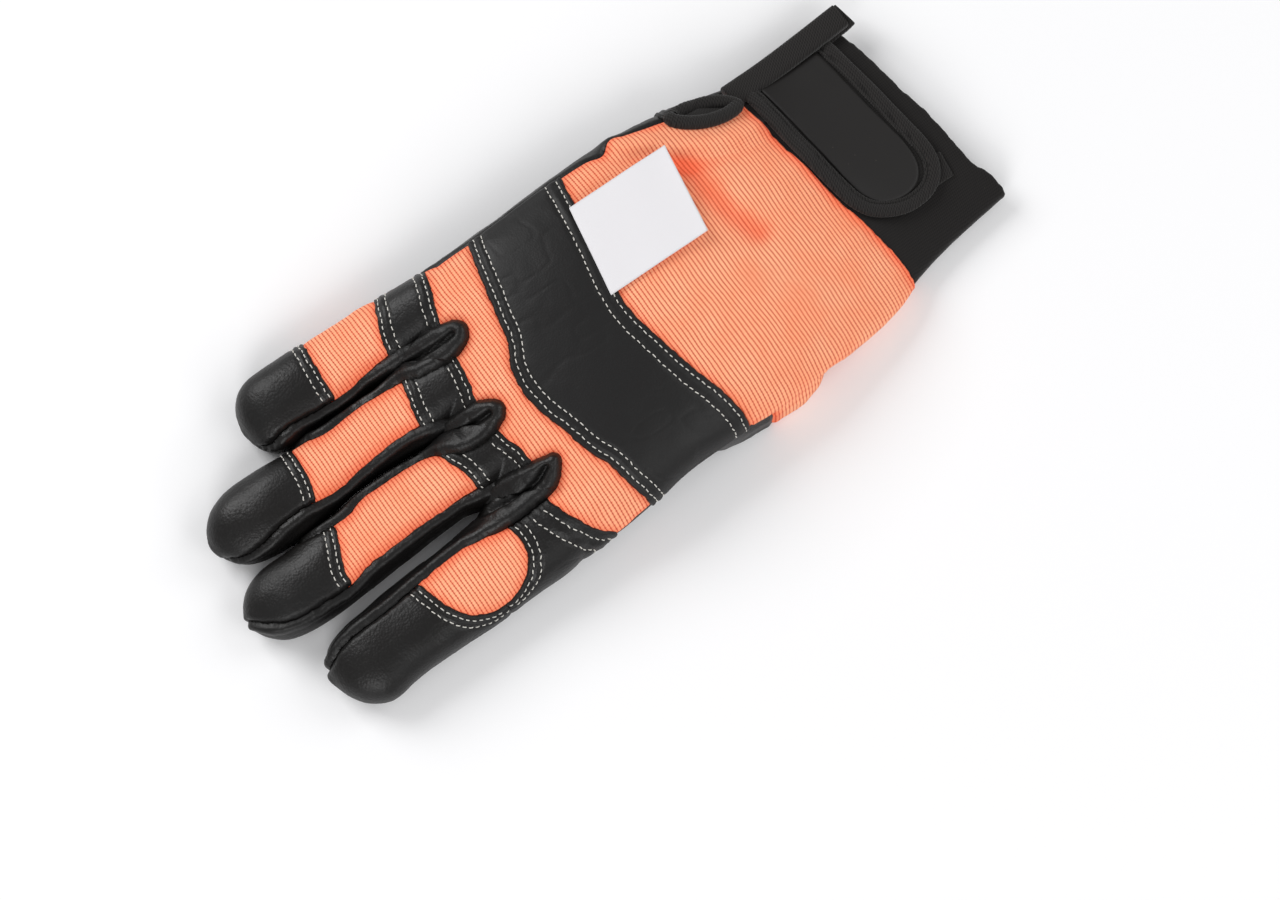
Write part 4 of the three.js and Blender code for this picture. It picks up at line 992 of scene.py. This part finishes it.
# The back of the hand and the cuff.
def build_back():
    cuff, panel_low, panel_high = (body.field(line) for line in ("cuff", "panel_low", "panel_high"))
    build_piece("cuff", body, [(UNDER_BACK - cuff, "tuck"), (body.field("cuff_end"), "hem")],
                lift=0.1, depth=1.7, rough=0.12, rough_size=7)
    build_piece("back_fabric", body, [(cuff, "hem"), (UNDER - panel_low, "tuck"), (wrapped, "seam")],
                lift=0.45, puff=0.7, fall=5, rough=0.1, rough_size=5)
    build_piece("knuckle_panel", body, [(panel_low, "hem"), (-panel_high, "hem"), (top, "seam")],
                lift=LEATHER + 0.35, puff=1.0, fall=7, rough=0.16, rough_size=9, creases=0.12,
                sews=[(0, (1.9, 5.6)), (1, (2.3, 5.0))])
    knuckle_parts = [(panel_high + UNDER, "tuck"), (UNDER - body.field("band_low"), "tuck")]
    knuckle_parts += [(off_noses + KNUCKLE_UNDER_NOSE, "tuck"), (top, "seam")]
    build_piece("knuckle_fabric", body, knuckle_parts, lift=FABRIC, puff=0.9, fall=4,
                rough=0.14, rough_size=5)


# The fingers.
def build_finger(finger):
    """The band, the fabric and the cap of a finger that has a plain cap."""
    band_top, cap_from = body.field("band_" + finger), body.field("hem_" + finger)
    sides = [(top, "seam"), (strip_of(finger), "none")]
    band_parts = [(body.field("band_low"), "hem"), (-band_top, "hem")]
    band_parts += [(off_noses + BAND_UNDER_NOSE, "tuck")]
    build_piece(finger + "_band", body, band_parts + sides, lift=LEATHER, puff=0.25, fall=4,
                rough=0.1, rough_size=5, sews=[(0, (1.6, 4.2)), (1, (1.6, 4.4))])
    fabric_parts = [(band_top + UNDER, "tuck"), (UNDER - cap_from, "tuck")]
    fabric_parts += [(off_noses + FINGER_UNDER_NOSE, "tuck")]
    build_piece(finger + "_fabric", body, fabric_parts + sides, lift=FABRIC, puff=0.9, fall=3,
                rough=0.14, rough_size=4)
    build_piece(finger + "_cap", body, [(cap_from, "hem"), (off_noses, "seam")] + sides, lift=LEATHER,
                puff=0.5, fall=5, rough=0.12, rough_size=8, creases=0.03, sews=[(0, (1.7, 4.0))])


def build_index():
    """The fabric window of the index finger, with its cap and saddle round it."""
    window, saddle = body.field("window"), body.field("saddle")
    sides = [(top, "seam"), (strip_of("index"), "none")]
    fabric_parts = [(window + UNDER, "tuck"), (off_noses + FINGER_UNDER_NOSE, "tuck")]
    build_piece("index_fabric", body, fabric_parts + sides, lift=FABRIC, puff=1.2, fall=5,
                rough=0.12, rough_size=5)
    build_piece("index_cap", body, [(-window, "hem"), (saddle, "tuck"), (off_noses, "seam")] + sides,
                lift=LEATHER, puff=0.5, fall=5, rough=0.12, rough_size=8, creases=0.05,
                sews=[(0, (1.9, 4.2))])
    saddle_parts = [(-window, "hem"), (-saddle, "tuck"), (body.field("band_low"), "hem"), (off_noses, "tuck")]
    build_piece("index_saddle", body, saddle_parts + sides, lift=LEATHER, puff=0.5, fall=5,
                rough=0.16, rough_size=7, creases=0.12, sews=[(0, (1.9, 4.2)), (2, (3.2, 7.6))])


# The walls between the fingers.
def roll_shape(slit):
    """Two rolls with a deep fold between them on the nose, and wrinkles across."""
    fold_line = line_field(rounded(slit, 60))

    def shape(points, fields):
        d = np.maximum(fields[:, 0], 0)
        off = np.abs(fold_line(points)[0])
        nose = smoothstep(-points[:, 1], -64, -50)
        swell = hem(np.minimum(d, off + 1.2), 2.9, 3.6)
        fold = 1.8 * bell(off, 0.8) * smoothstep(d, 1.5, 4)
        sharp = np.clip(1 - np.abs(noise(points * (0.8, 1.4, 0.7), 4.5, 24)) * 3.4, 0, 1) ** 2
        wrinkle = 0.28 * noise(points * (0.7, 1.5, 0.6), 3.4, 21) - 0.4 * sharp
        wrinkle *= smoothstep(d, 2, 4.5) * bell(off, 6)
        roll = 0.8 * bell(d - 2.4, 2.2) * smoothstep(fields[:, 1], 0, 4)
        uneven = 0.2 * noise(points * (1, 0.5, 1), 4, 22)
        return nose * (swell - fold + wrinkle) + (1 - nose) * roll + uneven

    return shape


def build_fourchette(pair):
    build_piece("fourchette_" + "_".join(pair), body, [(noses[pair], "seam"), (top, "seam")],
                lift=LEATHER - 0.1, rough=0.12, creases=0.1, shape=roll_shape(SLITS[pair]))


# The palm side.
def build_palm():
    under, patch, heel = -wrapped, body.field("patch"), body.field("heel")
    ends = {finger: body.points[:, 1] - root for finger, root in GRIP_FROM.items()}
    any_grip = np.max([np.minimum(end, strip_of(finger)) for finger, end in ends.items()], axis=0)
    build_piece("palm_patch", body, [(patch, "hem"), (under, "none")], lift=GRIP, puff=0.1, depth=0.8,
                sews=[(0, (1.3, 3.4))])
    leather_parts = [(UNDER_PALM - patch, "tuck"), (heel + UNDER_PALM, "tuck")]
    leather_parts += [(UNDER_PALM - any_grip, "tuck"), (under, "seam")]
    build_piece("palm_leather", body, leather_parts, lift=0.3, rough=0.15, rough_size=7, creases=0.12)
    heel_parts = [(-heel, "hem"), (body.field("cuff") - HEEL_OFF_CUFF, "hem"), (under, "seam")]
    build_piece("palm_heel", body, heel_parts, lift=LEATHER, rough=0.15, rough_size=7, creases=0.1,
                sews=[(0, (1.6, 3.8))], clear=9)
    for finger, end in ends.items():
        build_piece(finger + "_grip", body, [(end, "hem"), (under, "seam"), (strip_of(finger), "none")],
                    lift=GRIP, sews=[(0, (1.3, 3.4))], clear=3)


# The thumb.
def along_thumb(points):
    """How far along the thumb's centre line, in mm."""
    centre = THUMB[:, :2]
    run = lengths_along(centre)
    best, along = np.full(len(points), 1e18), np.zeros(len(points))
    for i, (d, t, off) in enumerate(nearest_on(centre[:-1], centre[1:], points[:, :2])):
        square = (off**2).sum(1)
        near = square < best
        best[near] = square[near]
        along[near] = run[i] + t[near] * math.hypot(*d)
    return along


def build_thumb():
    side = on_skin(*line_field(THUMB[:, :2])(thumb.points), thumb.normals)
    past_cap = along_thumb(thumb.points) - THUMB_CAP_FROM
    under_cap = (UNDER_THUMB_CAP - past_cap, "tuck")
    build_piece("thumb_cap", thumb, [(past_cap, "hem")], lift=0.5, rough=0.12, creases=0.1,
                sews=[(0, (1.5, 3.6))])
    build_piece("thumb_fabric", thumb, [(-side, "seam"), under_cap], lift=0.25, puff=0.2,
                rough=0.1, rough_size=5)
    build_piece("thumb_leather", thumb, [(side, "seam"), under_cap], lift=0.35, rough=0.12, creases=0.1)


# The lining, seen from the open cuff.
def build_lining():
    points, faces = loft(hand_rings(LINING_INSET, 0.2, 90, 72))
    points = points + shaped(points) * 0.8
    points, faces = clip(points, faces, SEAMS["cuff_end"](points)[0] - 0.4)
    add_piece("lining", points, faces[:, ::-1])


build_back()
for plain_finger in ("middle", "ring", "pinky"):
    build_finger(plain_finger)
build_index()
for neighbours in FOURCHETTES:
    build_fourchette(neighbours)
build_palm()
build_thumb()
build_lining()

# Small parts on the back, laid over the surface below them.
body_tree = tree_of(body.points, body.faces)
below_trim = ("back_fabric", "knuckle_panel", "cuff")
back_tree = tree_of(*joined([mesh_arrays(pieces[part]) for part in below_trim]))


def grid_faces(columns, rows):
    """Triangles of a grid whose points are numbered column after column."""
    i, j = np.meshgrid(np.arange(columns - 1), np.arange(rows - 1), indexing="ij")
    a = (i * rows + j).ravel()
    b = a + rows
    return np.vstack([np.column_stack([a, b, b + 1]), np.column_stack([a, b + 1, a + 1])])


def plan_patch(outline, step):
    """A fine flat grid inside an outline: table of x, y and distance inside, and triangles."""
    outline = np.asarray(outline, float)
    low, high = outline.min(0) - step, outline.max(0) + step
    xs, ys = np.arange(low[0], high[0] + step, step), np.arange(low[1], high[1] + step, step)
    grid = np.stack(np.meshgrid(xs, ys, indexing="ij"), -1).reshape(-1, 2)
    distance = line_field(outline, True)(grid)[0]
    return clip(np.column_stack([grid, distance]), grid_faces(len(xs), len(ys)), distance)


def laid(name, outline, tree, base, thickness, radius, step=0.6, bumps=0.0):
    """A flat sheet or pad laid on a surface, with its edge rounded down."""
    table, faces = plan_patch(outline, step)
    seat = blurred(heights(tree, table), faces, 6)
    z = seat + base + thickness - radius + hem(np.maximum(table[:, 2], 0), radius, radius)
    points = np.column_stack([table[:, :2], z])
    if bumps:
        points[:, 2] += bumps * noise(points, 6, len(name))
    add_piece(name, *thickened(points, np.tile(UP, (len(points), 1)), faces, thickness))


def offset_line(line, by):
    """A line moved to its left by a distance, with its corners eased."""
    ahead = np.gradient(line, axis=0)
    ahead /= np.linalg.norm(ahead, axis=1)[:, None]
    return eased(line + by * np.column_stack([-ahead[:, 1], ahead[:, 0]]), 6)


def evenly(line, step):
    """Points of a line at even distances, and how far along it they are."""
    run = lengths_along(line)
    at = np.linspace(0, run[-1], max(int(run[-1] / step), 2))
    return np.column_stack([np.interp(at, run, column) for column in line.T]), at


def tape(name, path, width, height, ribs, closed=False, sides=16, dent=0.0, round_off=0.8):
    """A rounded ribbed tape along a path of points that lie on what carries it."""
    path, at = evenly(path, TAPE_STEP)
    if closed:
        path, at = path[:-1], at[:-1]
        ahead = np.roll(path, -1, 0) - np.roll(path, 1, 0)
    else:
        ahead = np.gradient(path, axis=0)
    ahead /= np.linalg.norm(ahead, axis=1)[:, None]
    side = np.cross(ahead, UP)
    side /= np.linalg.norm(side, axis=1)[:, None]
    up = np.cross(side, ahead)
    wave = ribs * (np.abs(np.sin(math.pi * at / TAPE_RIB)) ** 0.7 - 0.6)
    lines = []
    for k in range(sides):
        c, s = math.cos(2 * math.pi * k / sides), math.sin(2 * math.pi * k / sides)
        across = np.sign(c) * abs(c) ** round_off * (width / 2 + wave)
        rise = np.sign(s) * abs(s) ** round_off * (height / 2 + wave * (s > 0)) + height / 2
        rise = rise + dent * bell(c + 0.72, 0.16) * (s > 0)
        lines.append(path + side * across[:, None] + up * rise[:, None])
    rings = np.stack(lines, 1)
    points, faces = rings.reshape(-1, 3), ring_faces(len(path), sides, closed)
    if not closed:
        points, faces = capped(rings, faces)
    add_piece(name, points, faces[:, ::-1])


def build_strap():
    """The tab with its pad, its bound edge, the piping inside that edge and the hook patch under it."""
    edge = rounded(STRAP, 220)
    laid("strap_tab", offset_line(edge, 1.6), body_tree, STRAP_SEAT, thickness=1.3, radius=0.3, bumps=0.12)
    laid("strap_pad", rounded(PAD, 200), body_tree, STRAP_SEAT + 1.2, thickness=1.0, radius=0.9, step=0.5)
    middle, inner = offset_line(edge, TAPE_WIDTH / 2), offset_line(edge, TAPE_WIDTH + 0.2)
    seat = eased(heights(body_tree, middle), 30) + STRAP_SEAT
    tape("strap_binding", np.column_stack([middle, seat]), TAPE_WIDTH, TAPE_HEIGHT, ribs=0.13, dent=-0.35)
    tape("strap_piping", np.column_stack([inner, seat + 1.25]), 1.1, 0.9, ribs=0.12, sides=8)
    laid("strap_hook", HOOK, body_tree, 0.2, thickness=0.9, radius=0.3, step=0.5)


def build_anchor():
    """The rolled strip that the strap comes from, and the layer that sticks out past its far end."""
    line = rounded(ANCHOR, 80)
    seat = heights(body_tree, line - (2.5, 0))
    path = np.column_stack([line, seat.mean() + 0.4 * (seat - seat.mean()) + 0.5])
    tape("strap_anchor", path, ANCHOR_WIDTH, ANCHOR_HEIGHT, ribs=0.03, sides=32, round_off=0.55)
    layer = np.vstack([path[40:], path[-1] + (0.4, -2.4, 0.3)]) - (0.3, 0, 1.6)
    tape("anchor_layer", layer, ANCHOR_WIDTH + 0.6, 2.6, ribs=0.12, sides=24, round_off=0.5)


def build_loop():
    """The pull loop: two arcs of tape that close at both ends, and a dark sheet of the tape's material inside
    it that is painted shade in the slit.
    """
    turn = np.linspace(0, 2 * math.pi, 160)
    across, along = LOOP_BULGE * np.sin(turn), LOOP_HALF * np.cos(turn)
    c, s = math.cos(LOOP_TURN), math.sin(LOOP_TURN)
    spin = np.array([[c, s], [-s, c]])
    lens = np.column_stack([across * np.abs(np.sin(turn)) ** 0.4, along]) @ spin + LOOP_CENTRE
    seat = heights(back_tree, lens)
    for _ in range(40):
        seat = 0.25 * np.roll(seat, 1) + 0.5 * seat + 0.25 * np.roll(seat, -1)
    tape("pull_loop", np.column_stack([lens, seat - 0.5]), 4.5, 3.4, ribs=0.16, closed=True)
    # Painted shade: a dark sheet laid in the slit stands in for the shade inside the loop.
    slit = np.column_stack([0.8 * across, 0.9 * along]) @ spin + LOOP_CENTRE
    laid("loop_inside", slit[:-1], back_tree, 0.1, thickness=0.5, radius=0.3, step=0.5)


def build_label():
    """The label, sewn on the lower edge of the panel, its free end a little off the fabric."""
    across, down = np.linspace(0, 1, LABEL_COLUMNS), np.linspace(0, 1, LABEL_ROWS)
    u, v = (grid.ravel() for grid in np.meshgrid(across, down, indexing="ij"))
    shares = ((1 - v) * (1 - u), (1 - v) * u, v * u, v * (1 - u))
    flat = sum(share[:, None] * corner for share, corner in zip(shares, LABEL))
    faces = grid_faces(LABEL_COLUMNS, LABEL_ROWS)[:, ::-1]
    seat = heights(back_tree, flat).reshape(LABEL_COLUMNS, LABEL_ROWS)
    for _ in range(3):
        wide = np.pad(seat, 1, mode="edge")
        shifts = [wide[p:p + LABEL_COLUMNS, q:q + LABEL_ROWS] for p in range(3) for q in range(3)]
        seat = np.max(shifts, axis=0)
    seat = blurred(seat.ravel(), faces, 120)
    curl = 0.9 * v * (2 * u - 1) ** 2 * np.where(u < 0.5, 1.0, 0.5)
    upper = np.column_stack([flat, seat + 0.7 + 1.6 * v**1.6 + curl])
    sheet, walls = thickened(upper, np.tile(UP, (len(flat), 1)), faces, LABEL_THICKNESS)
    points = np.vstack([sheet, upper - LABEL_THICKNESS * UP])
    add_piece("label", points, np.vstack([walls, faces[:, ::-1] + len(sheet)]))


build_strap()
build_anchor()
build_loop()
build_label()
build_stitches()


# Materials. Their lengths are in metres, and most sockets take a number or another node's output.
def srgb(r, g, b):
    """A colour as a picture shows it, turned into the shader's linear numbers."""
    def linear(value):
        value /= 255
        return value / 12.92 if value <= 0.04045 else ((value + 0.055) / 1.055) ** 2.4
    return (linear(r), linear(g), linear(b), 1.0)


class Look:
    """A material with its node tree at hand."""

    def __init__(self, name):
        self.material = bpy.data.materials.new(name)
        self.material.use_nodes = True
        self.tree = self.material.node_tree
        self.shader = self.tree.nodes["Principled BSDF"]
        self.place = self.add("ShaderNodeTexCoord").outputs["Object"]

    def add(self, kind, **values):
        node = self.tree.nodes.new(kind)
        for key, value in values.items():
            setattr(node, key, value)
        return node

    def put(self, socket, value):
        if isinstance(value, bpy.types.NodeSocket):
            self.tree.links.new(value, socket)
        else:
            socket.default_value = value

    def math(self, operation, *values):
        node = self.add("ShaderNodeMath", operation=operation)
        for k, value in enumerate(values):
            self.put(node.inputs[k], value)
        return node.outputs[0]

    def plus(self, a, b, share=1.0):
        """a and a share of b."""
        return self.math("ADD", a, b if share == 1.0 else self.times(b, share))

    def times(self, a, b):
        return self.math("MULTIPLY", a, b)

    def noise(self, scale, detail=2.0, roughness=0.5):
        node = self.add("ShaderNodeTexNoise")
        self.put(node.inputs["Vector"], self.place)
        for key, value in (("Scale", scale), ("Detail", detail), ("Roughness", roughness)):
            self.put(node.inputs[key], value)
        return node.outputs["Fac"]

    def cells(self, scale, smooth=0.0):
        node = self.add("ShaderNodeTexVoronoi", feature="SMOOTH_F1" if smooth else "F1")
        self.put(node.inputs["Vector"], self.place)
        self.put(node.inputs["Scale"], scale)
        if smooth:
            self.put(node.inputs["Smoothness"], smooth)
        return node.outputs["Distance"]

    def axes(self):
        node = self.add("ShaderNodeSeparateXYZ")
        self.put(node.inputs[0], self.place)
        return node.outputs[:3]

    def remap(self, value, low, high, to_low=0.0, to_high=1.0):
        node = self.add("ShaderNodeMapRange")
        for k, number in enumerate((value, low, high, to_low, to_high)):
            self.put(node.inputs[k], number)
        return node.outputs[0]

    def blend(self, factor, a, b):
        node = self.add("ShaderNodeMix", data_type="RGBA", blend_type="MIX")
        for k, value in ((0, factor), (6, a), (7, b)):
            self.put(node.inputs[k], value)
        return node.outputs[2]

    def wave(self, value, pitch):
        """From 0 in the grooves to 1 on the ribs, one rib a pitch."""
        return self.math("ABSOLUTE", self.math("SINE", self.times(value, math.pi / pitch)))

    def bump(self, height, strength, distance, before=None):
        node = self.add("ShaderNodeBump")
        for key, value in (("Strength", strength), ("Distance", distance), ("Height", height)):
            self.put(node.inputs[key], value)
        if before is not None:
            self.put(node.inputs["Normal"], before)
        return node.outputs[0]

    def attribute(self, name):
        return self.add("ShaderNodeAttribute", attribute_name=name).outputs["Fac"]

    def set(self, **values):
        for key, value in values.items():
            self.put(self.shader.inputs[key.replace("_", " ")], value)


def leather(name, dark, light, rough_low, rough_high, grain, scale=1.0):
    """Pebbled leather with paler worn patches and fine veins."""
    look = Look(name)
    patches = look.noise(45, 3)
    fine = look.noise(1500 * scale, 3, 0.6)
    pebbles = look.cells(1250 * scale, smooth=0.3)
    lines = look.math("ABSOLUTE", look.math("SUBTRACT", look.noise(150 * scale, 4, 0.6), 0.5))
    base = look.blend(look.remap(patches, 0.35, 0.7), dark, light)
    gloss = look.remap(look.plus(patches, fine, 0.6), 0.55, 1.05, rough_high, rough_low)
    first = look.bump(look.plus(pebbles, fine, 0.4), 0.45 * grain, -0.00028)
    look.set(Base_Color=look.blend(look.times(look.remap(pebbles, 0.1, 0.75), 0.35), base, dark),
             Roughness=gloss, Specular_IOR_Level=0.36,
             Normal=look.bump(look.remap(lines, 0.0, 0.05), 0.08 * grain, 0.0004, first))
    return look


def fabric():
    """Ribs across the glove with finer columns between them, with painted light on the rib tops, painted
    shade in the grooves and painted red shade in hollows and near seams.
    """
    rib_pitch, column_pitch = 0.0013, 0.0009
    look = Look("ribbed stretch fabric")
    x, y, _ = look.axes()
    warp, sway, tremble = (look.math("SUBTRACT", look.noise(scale, 2), 0.5) for scale in (38, 31, 900))
    bent = look.plus(y, look.plus(look.times(warp, 0.0024), tremble, 0.00025))
    across = look.plus(x, sway, 0.002)
    ribs = look.math("POWER", look.wave(bent, rib_pitch), 0.5)
    columns = look.math("POWER", look.wave(across, column_pitch), 0.6)
    fuzz = look.noise(3000, 3, 0.7)
    weave = look.plus(look.times(ribs, 0.76), columns, 0.24)
    # The first pair of colours below is the fabric's lit copy and the second its shaded copy. In both, the
    # grooves carry painted shade and the rib tops painted light.
    tops = look.remap(look.plus(weave, fuzz, 0.16), 0.42, 0.98)
    pale = look.blend(tops, srgb(184, 36, 18), srgb(254, 184, 143))
    shaded_copy = look.blend(tops, srgb(206, 42, 22), srgb(247, 98, 58))
    # Painted shade: near seams and in the folds' hollows the fabric turns to its shaded red copy.
    seam_shade = look.remap(look.attribute("edge"), 0.3, 4.5, 1.0, 0.0)
    hollow_shade = look.remap(look.attribute("hollow"), 0.5, 2.3, 0.0, 0.75)
    painted_shade_mix = look.blend(look.math("MAXIMUM", look.times(seam_shade, 0.8), hollow_shade), pale, shaded_copy)
    mottle = look.remap(look.noise(95, 3), 0.35, 0.75, 0.0, 0.3)
    first = look.bump(weave, 0.75, 0.0003)
    # The faint red-orange emission is a painted glow that lifts the fabric's shade towards red-orange.
    look.set(Base_Color=look.blend(mottle, painted_shade_mix, srgb(244, 118, 74)), Roughness=0.85, Sheen_Weight=0.15,
             Sheen_Roughness=0.5, Sheen_Tint=srgb(255, 190, 150), Specular_IOR_Level=0.2,
             Emission_Color=srgb(255, 70, 30), Emission_Strength=0.08,
             Normal=look.bump(fuzz, 0.25, 0.00008, first))
    return look


def knit(name, dark, light, pitch, strength=0.5, specks=False, twill=False):
    """Knitted or woven tape, with pale specks of lint or with the ribs aslant."""
    look = Look(name)
    x, y, z = look.axes()
    turned = look.plus(x, look.noise(60, 2), 0.0012)
    if twill:
        turned = look.plus(turned, y, 0.8)
    courses = look.wave(look.plus(y, z), pitch * 0.8)
    fuzz = look.noise(2600, 3, 0.7)
    weave = look.plus(look.times(look.wave(turned, pitch), 0.5), courses, 0.5)
    base = look.blend(look.remap(look.plus(weave, fuzz, 0.4), 0.3, 1.1), dark, light)
    if specks:
        dots = look.times(look.remap(look.cells(420), 0.07, 0.1, 1.0, 0.0),
                          look.remap(look.noise(240, 2), 0.62, 0.66))
        base = look.blend(look.times(dots, 0.55), base, srgb(120, 112, 104))
    first = look.bump(weave, strength, 0.00018)
    look.set(Base_Color=base, Roughness=0.9, Sheen_Weight=0.12, Sheen_Roughness=0.5, Specular_IOR_Level=0.22,
             Normal=look.bump(fuzz, 0.3, 0.00008, first))
    return look


def grip():
    """Fine threads that cross aslant."""
    pitch = 0.00115
    look = Look("cross woven grip")
    x, y, _ = look.axes()
    crossed = look.times(look.wave(look.plus(x, y), pitch), look.wave(look.math("SUBTRACT", x, y), pitch))
    look.set(Base_Color=look.blend(crossed, srgb(13, 13, 13), srgb(32, 31, 31)), Roughness=0.46,
             Specular_IOR_Level=0.45, Normal=look.bump(crossed, 0.8, 0.0003))
    return look


def pad():
    look = Look("smooth rubber pad")
    marks = look.noise(30, 3)
    speck = look.remap(look.cells(260), 0.035, 0.05, 1.0, 0.0)
    base = look.blend(marks, srgb(14, 12, 11), srgb(20, 17, 16))
    look.set(Base_Color=look.blend(look.times(speck, 0.35), base, srgb(92, 84, 78)),
             Roughness=look.remap(marks, 0.3, 0.7, 0.5, 0.62), Specular_IOR_Level=0.4,
             Normal=look.bump(look.noise(1500, 2), 0.08, 0.0001))
    return look


def thread():
    look = Look("off white thread")
    x, y, z = look.axes()
    twist = look.wave(look.plus(x, look.plus(y, z)), 0.00045)
    look.set(Base_Color=look.blend(twist, srgb(168, 164, 156), srgb(236, 233, 226)), Roughness=0.75,
             Normal=look.bump(twist, 0.5, 0.00008))
    return look


def cloth():
    pitch = 0.0003
    look = Look("plain white label cloth")
    x, y, _ = look.axes()
    weave = look.times(look.wave(look.plus(x, y, 0.18), pitch), look.wave(y, pitch))
    look.set(Base_Color=look.blend(weave, srgb(222, 220, 223), srgb(238, 237, 240)), Roughness=0.7,
             Specular_IOR_Level=0.35, Normal=look.bump(weave, 0.25, 0.00006))
    return look


LOOKS = {
    "leather": leather("soft black leather", srgb(10, 9, 9), srgb(21, 19, 18), 0.36, 0.52, 0.6),
    "panel": leather("smooth panel leather", srgb(13, 12, 12), srgb(20, 19, 19), 0.46, 0.58, 0.3, 1.3),
    "fabric": fabric(),
    "knit": knit("black cuff knit", srgb(13, 12, 12), srgb(30, 28, 27), 0.00085, specks=True),
    "tape": knit("black binding tape", srgb(8, 7, 7), srgb(42, 40, 39), 0.001, 0.9, twill=True),
    "lining": knit("dark inner lining", srgb(16, 16, 16), srgb(30, 29, 29), 0.001, 0.4),
    "grip": grip(),
    "pad": pad(),
    "thread": thread(),
    "label": cloth(),
}
LOOK_OF = {
    "knuckle_panel": "panel", "palm_patch": "grip", "strap_pad": "pad", "label": "label",
    "stitches": "thread", "cuff": "knit", "strap_tab": "knit", "strap_anchor": "tape",
    "anchor_layer": "tape", "strap_hook": "tape", "strap_binding": "tape", "strap_piping": "tape",
    "pull_loop": "tape", "loop_inside": "tape", "lining": "lining",
}


def look_of(name):
    """Pieces that aren't listed are fabric or grip by the end of their names, and leather otherwise."""
    endings = [ending for ending in ("fabric", "grip") if name.endswith(ending)]
    return LOOK_OF.get(name) or (endings + ["leather"])[0]


def declare(name, piece):
    kind = look_of(name)
    piece.data.materials.append(LOOKS[kind].material)
    piece.name = "look_" + name
    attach(piece, "root")
    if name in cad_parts:
        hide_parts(name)


for piece_name, finished_piece in pieces.items():
    declare(piece_name, finished_piece)


# The stage.
def build_floor():
    half, below = 3.0, -0.0002
    corners = [(x * half, y * half, below) for x, y in ((-1, -1), (1, -1), (1, 1), (-1, 1))]
    mesh = bpy.data.meshes.new("floor")
    mesh.from_pydata(corners, [], [(0, 1, 2, 3)])
    floor = bpy.data.objects.new("floor", mesh)
    bpy.context.scene.collection.objects.link(floor)
    look = Look("pale floor")
    look.set(Base_Color=(0.93, 0.93, 0.94, 1), Roughness=0.9, Specular_IOR_Level=0.1)
    mesh.materials.append(look.material)


def build_world():
    world = bpy.data.worlds.new("studio")
    bpy.context.scene.world = world
    world.use_nodes = True
    background = world.node_tree.nodes["Background"]
    background.inputs["Color"].default_value = (1, 1, 1, 1)
    background.inputs["Strength"].default_value = 0.34
    bpy.context.scene.view_settings.view_transform = "Standard"


def area_light(name, place, size, power):
    """A square light that shines at the glove."""
    light = bpy.data.lights.new(name, "AREA")
    light.shape = "SQUARE"
    light.size = size
    light.energy = power
    obj = bpy.data.objects.new(name, light)
    obj.location = place
    obj.rotation_euler = (-Vector(place)).to_track_quat("-Z", "Y").to_euler()
    bpy.context.scene.collection.objects.link(obj)


def build_camera():
    azimuth, elevation, distance = math.radians(234), math.radians(78.5), 1.0
    target = Vector((-36.2, 6.8, 12.0)) * MM
    flat = math.cos(elevation)
    ahead = Vector((-math.sin(azimuth) * flat, math.cos(azimuth) * flat, -math.sin(elevation)))
    data = bpy.data.cameras.new("camera")
    data.lens = 91.4
    data.sensor_width = 36
    data.clip_start = 0.01
    camera = bpy.data.objects.new("camera", data)
    camera.location = target - ahead * distance
    camera.rotation_euler = ahead.to_track_quat("-Z", "Y").to_euler()
    bpy.context.scene.collection.objects.link(camera)
    bpy.context.scene.camera = camera


build_floor()
build_world()
area_light("key", (0.95, 0.35, 0.8), 0.7, 9.5)
area_light("tips", (-0.75, 0.85, 0.75), 0.6, 6)
area_light("cuff side", (-0.2, -1.1, 0.8), 0.7, 4)
area_light("thumb side", (-0.9, -0.4, 0.8), 0.7, 3.6)
build_camera()
